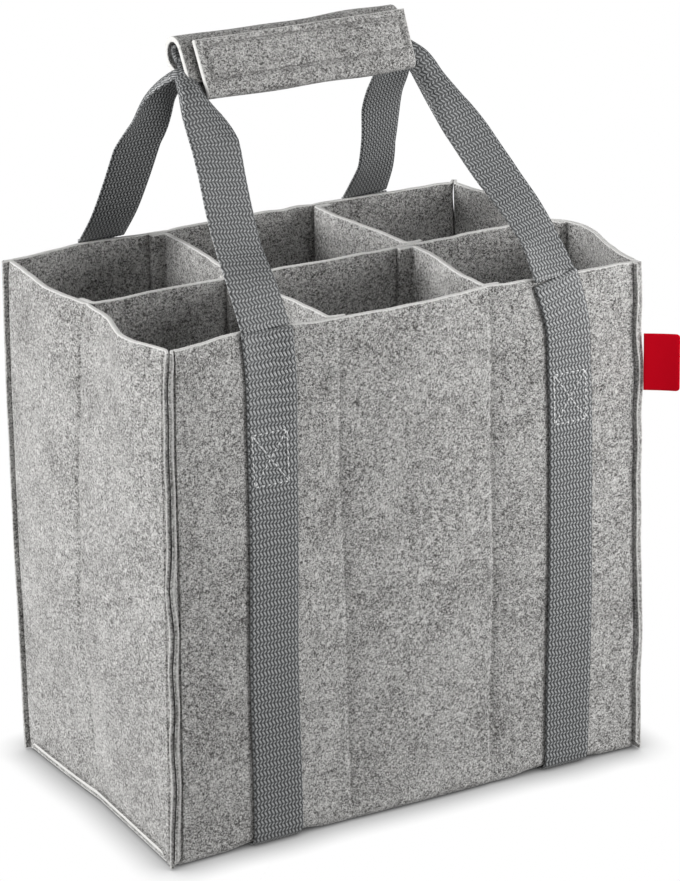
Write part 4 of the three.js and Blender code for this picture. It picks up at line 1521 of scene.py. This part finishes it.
    def box_stitch(self, leg: Leg) -> None:
        """Sew a rectangle with a cross through the webbing, below the rim."""
        box = self.box
        y = leg.face.value * (box.half_depth + box.felt + box.gap + box.webbing - self.thread_sink)
        half = [self.stitch_width / 2, self.stitch_height / 2]
        corners = np.array([[-1, -1], [1, -1], [1, 1], [-1, 1]]) * half
        share = np.linspace(0, 1, 30)[:, None]
        lines = []
        for start, end in ((0, 1), (1, 2), (2, 3), (3, 0), (0, 2), (1, 3)):
            flat = corners[start] + (corners[end] - corners[start]) * share
            path = joined(leg.x + flat[:, 0], y, self.stitch_middle + flat[:, 1])
            lines.append((box.stand(path), np.tile([0.0, leg.face.value, 0.0], (len(share), 1))))
        piece = self.sewing.mesh(f"box_stitch_threads_{leg.name}", lines)
        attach(dress(piece, self.finishes.pale_thread, Slot.THREAD, f"box_stitch_{leg.name}"), "carrier")

    def build(self) -> None:
        """Build every stretch of both handles and their box stitches."""
        for hand in Hand:
            self.under(hand)
        for leg in self.legs:
            self.sewn(leg)
            self.free(leg)
            self.box_stitch(leg)


@dataclass
class Grip:
    """The felt sleeve round both handles: back, round top, flap inside and flap outside, with their tapes.

    Its sections are given as (n, t): the distance out of the flap's face and the height along that face,
    which leans back. The bunches are the places of the front and the rear webbing inside the sleeve.
    """

    box: SoftBox
    finishes: Finishes
    left: float = -66 * MM
    right: float = 47 * MM
    end_slant: float = 2.5 * MM
    flap_inset: float = 5 * MM
    front: float = 12 * MM
    bottom: float = 327.6 * MM
    lean: float = math.radians(33)
    felt: float = 2.5 * MM
    edge_radius: float = 0.5 * MM
    swell: float = 0.35 * MM
    swell_length: float = 38 * MM
    flap_height: float = 27 * MM
    cap: tuple[float, float] = (-13.0 * MM, 25.5 * MM)
    cap_radius: float = 6.75 * MM
    turn: tuple[float, float] = (-3.5 * MM, 3.2 * MM)
    turn_radius: float = 2.25 * MM
    turn_rows: int = 9
    inner_flap_n: float = -6.25 * MM
    inner_flap_low: float = 9.5 * MM
    outer_bend: tuple[float, float] = (1 * MM, 8 * MM)
    inner_bend: tuple[float, float] = (0.3 * MM, 4 * MM)
    stitch_top: float = 24 * MM
    stitch_low: float = 8.4 * MM
    stitch_inset: float = 4 * MM
    groove_width: float = 1.15 * MM
    groove_depth: float = 1.0 * MM
    thread_sink: float = 0.35 * MM
    sewing: Stitching = Stitching(radius=0.22 * MM, rise=0.25 * MM)
    tape: float = 0.8 * MM
    tape_height: float = 15 * MM
    tape_inset: float = 5 * MM
    tape_low: float = 10 * MM
    hook_pitch: float = 1.8 * MM
    loop_length: float = 1.6 * MM
    pile: float = 0.12 * MM
    bunches: tuple[tuple[str, float, float], ...] = (
        ("front", -10.7 * MM, 18 * MM), ("rear", -12.4 * MM, 24.8 * MM))
    bunched: Ribbon = Ribbon(width=16 * MM)
    bunch_curl: float = 0.95
    step: float = 2 * MM
    flap_step: float = 0.8 * MM
    tape_step: float = 0.45 * MM

    def place(self, x: np.ndarray | float, n: np.ndarray | float, t: np.ndarray | float) -> np.ndarray:
        """Carry grip coordinates to the frame.

        Args:
            x: Place along the grip.
            n: Distance out of the flap's face.
            t: Height up along the leaning face.

        Returns:
            Points, turned back by the lean about the grip's lower front edge.
        """
        y = -self.front - n * math.cos(self.lean) + t * math.sin(self.lean)
        z = self.bottom + n * math.sin(self.lean) + t * math.cos(self.lean)
        return joined(x + self.box.middle[0], y + self.box.middle[1], z)

    def direction(self, n: float, t: float) -> np.ndarray:
        """Direction in the frame of a step out of the flap's face and up along it, of length 1."""
        return unit(self.place(0.0, n, t) - self.place(0.0, 0.0, 0.0))

    def hinge(self, t: float) -> tuple[float, float, float]:
        """A point on the flap's face at a height along it."""
        return tuple(float(v) for v in self.place(0.0, 0.0, t))

    def section(self) -> tuple[np.ndarray, np.ndarray]:
        """Middle line of the sleeve's section and its outward directions.

        Returns:
            Points and directions as (n, t): an arc over the top, the flat back, which touches both circles,
            and an arc round the bottom to the front.
        """
        cap, turn = np.array(self.cap), np.array(self.turn)
        apart = cap - turn
        distance = np.linalg.norm(apart)
        along = apart / distance
        sink = (self.cap_radius - self.turn_radius) / distance
        back = np.array([-along[1], along[0]])
        normal = -sink * along + math.sqrt(1 - sink**2) * back
        angle = math.atan2(normal[1], normal[0]) + 2 * math.pi
        angles = (np.linspace(0, angle, 30), np.linspace(angle, 2 * math.pi, 14))
        over, under = (joined(np.cos(a), np.sin(a)) for a in angles)
        arc_over = cap + self.cap_radius * over
        arc_under = turn + self.turn_radius * under
        share = np.linspace(0, 1, 9)[1:-1, None]
        straight = arc_over[-1] + (arc_under[0] - arc_over[-1]) * share
        points = np.concatenate([arc_over, straight, arc_under])
        return points, np.concatenate([over, np.repeat(over[-1:], len(straight), axis=0), under])

    def sheet(self, name: str, x: np.ndarray, points: np.ndarray, normals: np.ndarray,
              cut_rows: tuple[bool, bool], groove: np.ndarray | float = 0.0,
              thickness: float | None = None) -> bpy.types.Object:
        """Build a sheet along the grip.

        Args:
            name: Name of the piece.
            x: Places along the grip.
            points: Middle line of its section, as (n, t).
            normals: Outward directions of the section.
            cut_rows: Whether its first and last rows are cut edges.
            groove: Depth pressed into the outer face, sections by places.
            thickness: Its thickness, if it isn't the felt's.

        Returns:
            The sheet, its faces half its thickness from the middle line.
        """
        far = np.clip((x - self.left) / (self.right - self.left), 0, 1) ** 6
        low = 1 - np.clip(points[:, 1] / self.flap_height, 0, 1)
        grid_x = x[None, :] - self.end_slant * low[:, None] * far[None, :]
        field_places = joined(grid_x, points[:, :1], points[:, 1:])
        swell = Waves(self.swell_length, 81).at(field_places) * self.swell
        half = (thickness or self.felt) / 2
        faces = []
        for offset in (-half + swell, half + swell - groove):
            n = points[:, :1] + normals[:, :1] * offset
            t = points[:, 1:] + normals[:, 1:] * offset
            faces.append(self.place(grid_x, n, t))
        return closed_sheet(name, *faces, min(self.edge_radius, 0.6 * half), cut_rows)

    def groove(self, x: np.ndarray, t: np.ndarray, left: float, right: float) -> np.ndarray:
        """Depth that the sewn rectangle presses into the flap: narrow bells along its four lines."""
        low, top, width = self.stitch_low, self.stitch_top, self.groove_width
        rows = np.maximum(bell(t - top, width), bell(t - low, width))[:, None]
        rows = rows * eased(x, left - MM, left) * (1 - eased(x, right, right + MM))
        ends = np.maximum(bell(x - left, width), bell(x - right, width))
        ends = ends * (eased(t, low - MM, low) * (1 - eased(t, top, top + MM)))[:, None]
        return self.groove_depth * np.maximum(rows, ends)

    def lift(self, piece: bpy.types.Object) -> None:
        """Fix a piece of the inner flap where it stands: the hinge points below the top of the grip are
        worked out but not used.
        """
        start, end = (self.hinge(self.cap[1] - below) for below in self.inner_bend)
        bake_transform(piece)

    def build(self) -> None:
        """Build and dress the sleeve, both flaps, the tapes, the sewn rectangle and the bunched webbing."""
        felt = self.finishes.felt
        points, normals = self.section()
        x = spaced(self.left, self.right, self.step)
        split = len(points) - self.turn_rows
        sleeve = self.sheet("felt_grip_sleeve", x, points[:split], normals[:split], (False, False))
        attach(dress(sleeve, felt, Slot.FELT, "grip_sleeve"), "handle")
        left, right = self.left + self.flap_inset, self.right - self.box.gap
        flap_x = spaced(left, right, self.flap_step)
        rise = spaced(self.turn[1] + self.box.gap, self.flap_height, 0.5 * MM)[3:]
        flap_points = np.concatenate([points[split - 1 :], joined(-self.felt / 2, rise)])
        flap_normals = np.concatenate([normals[split - 1 :], np.tile([1.0, 0.0], (len(rise), 1))])
        sewn = (left + self.stitch_inset, right - self.stitch_inset)
        groove = self.groove(flap_x, flap_points[:, 1], *sewn)
        flap = self.sheet("felt_grip_outer_flap", flap_x, flap_points, flap_normals, (False, True), groove)
        start, end = (self.hinge(t) for t in self.outer_bend)
        dress(flap, felt, Slot.FELT, "grip_outer_flap")
        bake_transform(flap)
        low = spaced(self.inner_flap_low, self.cap[1], 2 * MM)[-2::-1]
        ahead = np.tile([1.0, 0.0], (len(low), 1))
        inner = self.sheet("felt_grip_inner_flap", x, joined(self.inner_flap_n, low), ahead, (False, True))
        self.lift(dress(inner, felt, Slot.FELT, "grip_inner_flap"))
        self.rectangle(*sewn)
        self.tapes()
        self.webbing()

    def rectangle(self, left: float, right: float) -> None:
        """Sew the rectangle that holds the tape on the outer flap."""
        corners = [(left, self.stitch_low), (right, self.stitch_low), (right, self.stitch_top),
                   (left, self.stitch_top), (left, self.stitch_low)]
        share = np.linspace(0, 1, 60)
        out = np.tile(self.direction(1.0, 0.0), (len(share), 1))
        lines = []
        for (x0, t0), (x1, t1) in zip(corners[:-1], corners[1:]):
            lines.append((self.place(x0 + (x1 - x0) * share, -self.thread_sink, t0 + (t1 - t0) * share), out))
        piece = self.sewing.mesh("grip_flap_threads", lines)
        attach(dress(piece, self.finishes.felt_thread, Slot.THREAD, "grip_stitch"), "outer_flap")

    def tapes(self) -> None:
        """Build the two fastening tapes: hooks as a product of sines, and a wavy pile of loops."""
        left, right = self.left + self.flap_inset, self.right - self.box.gap
        x = spaced(left + self.tape_inset, right - self.tape_inset, self.tape_step)
        t = spaced(self.tape_low, self.tape_low + self.tape_height, self.tape_step)
        hook_n = -(self.felt + self.box.gap + self.tape / 2)
        loop_n = hook_n - self.tape - self.box.gap
        rows = 2 * math.pi / self.hook_pitch
        hooks = np.clip(np.sin(t * rows)[:, None] * np.sin(x * rows)[None, :], 0, 1) ** 0.5
        loops = 0.5 + 0.5 * Waves(self.loop_length, 91).at(joined(x, t[:, None], 0))
        for name, n, out, pile, finish in (("hook_tape", hook_n, -1.0, hooks, self.finishes.hooks),
                                           ("loop_tape", loop_n, 1.0, loops, self.finishes.loops)):
            facing = np.tile([out, 0.0], (len(t), 1))
            relief = -self.pile * np.clip(pile, 0, 1)
            piece = self.sheet(f"nylon_{name}", x, joined(n, t), facing, (True, True), relief, self.tape)
            dress(piece, finish, Slot.TAPE, name)
            if out < 0:
                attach(piece, "outer_flap")
            else:
                self.lift(piece)

    def webbing(self) -> None:
        """Build the bunched webbing that runs through the sleeve, folded in two along its length."""
        x = np.arange(self.left - 0.5 * MM, self.right + 0.5 * MM, 3 * MM)
        wide = np.tile(self.direction(0.0, 1.0), (len(x), 1))
        normal = np.cross(wide, [1.0, 0.0, 0.0])
        for name, n, t in self.bunches:
            piece = self.bunched.build(f"webbing_in_grip_{name}", self.place(x, n, t), wide, normal,
                                       np.full(len(x), self.bunch_curl))
            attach(dress(piece, self.finishes.webbing, Slot.WEBBING, f"handle_run_{name}"), "handle")


@dataclass
class Tab:
    """The bare woven tab in the front right seam: a ribbon folded double, with rounded corners."""

    box: SoftBox
    finishes: Finishes
    length: float = 16.6 * MM
    height: float = 27 * MM
    thickness: float = 1.2 * MM
    edge_radius: float = 0.35 * MM
    drop: float = 47 * MM
    angle: float = math.radians(-40)
    corner: float = 1.7 * MM
    tuck: float = 3.6 * MM
    seam_inset: float = 0.75 * MM
    bow: float = 0.5 * MM
    bow_turn: float = 2.6
    skew: float = 0.25 * MM
    bend_end: tuple[float, float] = (4 * MM, -3.4 * MM)
    bend_height: float = 190 * MM

    def build(self) -> None:
        """Build the tab as a thin plate whose free corners are rounded, and dress it."""
        low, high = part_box("side_tab")
        seam = np.array([low[0] + self.seam_inset - self.tuck, high[1] - self.seam_inset])
        cos_a, sin_a = math.cos(self.angle), math.sin(self.angle)
        u = spaced(0, self.length, 1 * MM) / self.length
        v = spaced(-self.height / 2, self.height / 2, 1 * MM) / (self.height / 2)
        grid_u, grid_v = np.meshgrid(u, v)
        gone = grid_u * self.length
        past = np.clip(self.corner - (1 - grid_u) * self.length, 0, self.corner)
        inset = self.corner - np.sqrt(np.clip(self.corner**2 - past**2, 0, None))
        sway = self.bow * np.sin(grid_u * self.bow_turn) + self.skew * grid_v * grid_u
        x = seam[0] + gone * cos_a - sway * sin_a
        y = seam[1] + gone * sin_a + sway * cos_a
        middle = joined(x, y, self.box.height - self.drop + grid_v * (self.height / 2 - inset))
        side = np.array([-sin_a, cos_a, 0]) * self.thickness / 2
        piece = closed_sheet("ribbon_side_tab", middle - side, middle + side, self.edge_radius)
        points = vertex_places(piece)
        along = (points[:, 0] - seam[0]) * cos_a + (points[:, 1] - seam[1]) * sin_a
        set_attribute(piece, "weave", joined(along, points[:, 2], 0))
        dress(piece, self.finishes.ribbon, Slot.TAB, "side_tab")
        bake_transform(piece)


@dataclass(frozen=True)
class Softbox:
    """A square studio light: its power in watts, its side and where it hangs, in metres."""

    name: str
    power: float
    size: float
    place: tuple[float, float, float]

    def build(self, aim: tuple[float, float, float]) -> None:
        """Hang the light and turn it to a point: its -Z axis along the line from its place to the aim."""
        data = bpy.data.lights.new(self.name, "AREA")
        data.energy = self.power
        data.size = self.size
        lamp = bpy.data.objects.new(self.name, data)
        bpy.context.collection.objects.link(lamp)
        way = np.array(aim) - np.array(self.place)
        lamp.location = self.place
        lamp.visible_camera = False
        lamp.rotation_euler = (
            math.acos(-way[2] / np.linalg.norm(way)), 0, math.atan2(way[1], way[0]) - math.pi / 2)


@dataclass(frozen=True)
class Studio:
    """White ground, a sky that is bright at its sides, and soft lights from the left, the right and above.

    The sky's strength rises from below to its level over the low heights of a direction, and falls to
    overhead over the high ones. A direction's height is its Z.
    """

    overhead: float = 0.03
    level: float = 0.38
    below: float = 0.32
    low: tuple[float, float] = (-0.25, 0.0)
    high: tuple[float, float] = (0.25, 0.75)
    shadow_reach: float = 18 * MM
    ground_size: float = 30.0
    aim: tuple[float, float, float] = (0, 0, 0.13)
    lights: tuple[Softbox, ...] = (
        Softbox("left_softbox", 51.0, 1.1, (-2.0, 0.6, 0.8)),
        Softbox("right_softbox", 3.3, 0.35, (0.45, -0.5, 0.3)),
        Softbox("top_softbox", 2.9, 0.6, (0.15, -0.6, 1.1)),
    )

    def ground(self) -> None:
        """Make the white ground, which glows evenly but for a painted soft shadow close to the carrier."""
        half = self.ground_size / 2
        corners = np.array([[-half, -half, 0], [half, -half, 0], [half, half, 0], [-half, half, 0]])
        ground = new_object("studio_ground", corners, np.array([[0, 1, 2, 3]]), smooth=False)
        made, tree, shader = new_material("white_ground_with_painted_shadow")
        # Its glow follows the ambient occlusion: a painted soft shadow where the carrier is close.
        near = add_node(tree, "AmbientOcclusion", {"Distance": self.shadow_reach})
        tree.links.new(near.outputs["AO"], shader.inputs["Emission Strength"])
        shader.inputs["Base Color"].default_value = (0, 0, 0, 1)
        shader.inputs["Specular IOR Level"].default_value = 0.0
        shader.inputs["Emission Color"].default_value = (1, 1, 1, 1)
        made.cycles.emission_sampling = "NONE"
        ground.data.materials.append(made)
        ground.visible_diffuse = False
        ground.visible_glossy = False

    def sky(self) -> None:
        """Make the sky, whose strength is the sum of two ramps over a direction's height."""
        world = bpy.data.worlds.new("studio_sky")
        bpy.context.scene.world = world
        world.use_nodes = True
        tree = world.node_tree
        tree.nodes.clear()
        node = partial(add_node, tree)
        direction = node("TexCoord").outputs["Generated"]
        height = node("SeparateXYZ", {0: direction}).outputs[2]
        low = node("MapRange", {"Value": height, "From Min": self.low[0], "From Max": self.low[1],
                                "To Min": self.below, "To Max": self.level})
        high = node("MapRange", {"Value": height, "From Min": self.high[0], "From Max": self.high[1],
                                 "To Min": 0.0, "To Max": self.overhead - self.level})
        strength = node("Math", {0: low.outputs[0], 1: high.outputs[0]}, operation="ADD")
        light = node("Background", {"Color": (1, 1, 1, 1), "Strength": strength.outputs[0]})
        output = node("OutputWorld")
        tree.links.new(light.outputs[0], output.inputs["Surface"])

    def build(self) -> None:
        """Make the ground, the sky and the lights, and show light as it is."""
        self.ground()
        self.sky()
        for light in self.lights:
            light.build(self.aim)
        view = bpy.context.scene.view_settings
        view.view_transform = "Standard"
        view.look = "None"


@dataclass(frozen=True)
class Camera:
    """The photograph's view: a long lens from the front left, a little above.

    Its focal length and the frame's width are in picture elements, and the sensor is in millimetres.
    """

    middle: tuple[float, float]
    azimuth: float = math.radians(29.722)
    elevation: float = math.radians(19.539)
    roll: float = math.radians(-1.029)
    place: tuple[float, float, float] = (-0.852923, -1.507724, 0.767752)
    focal: float = 3985.81
    frame_width: float = 680.0
    sensor: float = 36.0
    clip_end: float = 50.0

    def build(self) -> None:
        """Set the camera up from its direction, its roll and its focal length in picture widths."""
        data = bpy.data.cameras.new("photo_camera")
        data.sensor_fit = "HORIZONTAL"
        data.sensor_width = self.sensor
        data.lens = self.focal / self.frame_width * self.sensor
        data.clip_end = self.clip_end
        camera = bpy.data.objects.new("photo_camera", data)
        bpy.context.collection.objects.link(camera)
        sin_a, cos_a = math.sin(self.azimuth), math.cos(self.azimuth)
        sin_e, cos_e = math.sin(self.elevation), math.cos(self.elevation)
        forward = np.array([sin_a * cos_e, cos_a * cos_e, -sin_e])
        right = np.array([cos_a, -sin_a, 0])
        up = np.cross(right, forward)
        cos_r, sin_r = math.cos(self.roll), math.sin(self.roll)
        turned_right = cos_r * right + sin_r * up
        turned_up = -sin_r * right + cos_r * up
        matrix = np.eye(4)
        matrix[:3, 0], matrix[:3, 1], matrix[:3, 2] = turned_right, turned_up, -forward
        matrix[:3, 3] = np.array(self.place) + np.array([*self.middle, 0])
        camera.matrix_world = Matrix(matrix.tolist())
        bpy.context.scene.camera = camera


def box_middle(grip_left: float) -> tuple[float, float]:
    """Find the middle of the felt box in the part's frame.

    Args:
        grip_left: Where the grip starts, from the middle of the box.

    Returns:
        X from the grip's left end and Y from the middle of the webbing under the base.
    """
    grip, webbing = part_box("grip_sleeve"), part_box("base_webbing_left")
    return float(grip[0][0] - grip_left), float((webbing[0][1] + webbing[1][1]) / 2)


def main() -> None:
    """Build every sub-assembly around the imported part."""
    logging.basicConfig(level=logging.INFO, format="%(name)s: %(message)s")
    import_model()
    middle = box_middle(Grip.left)
    box = SoftBox(middle=middle)
    finishes = Finishes()
    half_strap = 12 * MM
    strap_places = tuple((x - half_strap, x + half_strap) for x in (-72 * MM, 75.5 * MM))
    FeltWalls(box, finishes, strap_places).build()
    Dividers(box, finishes).build()
    Straps(box, finishes).build()
    Grip(box, finishes).build()
    Tab(box, finishes).build()
    Studio().build()
    Camera(middle).build()


if __name__ == "__main__":
    main()
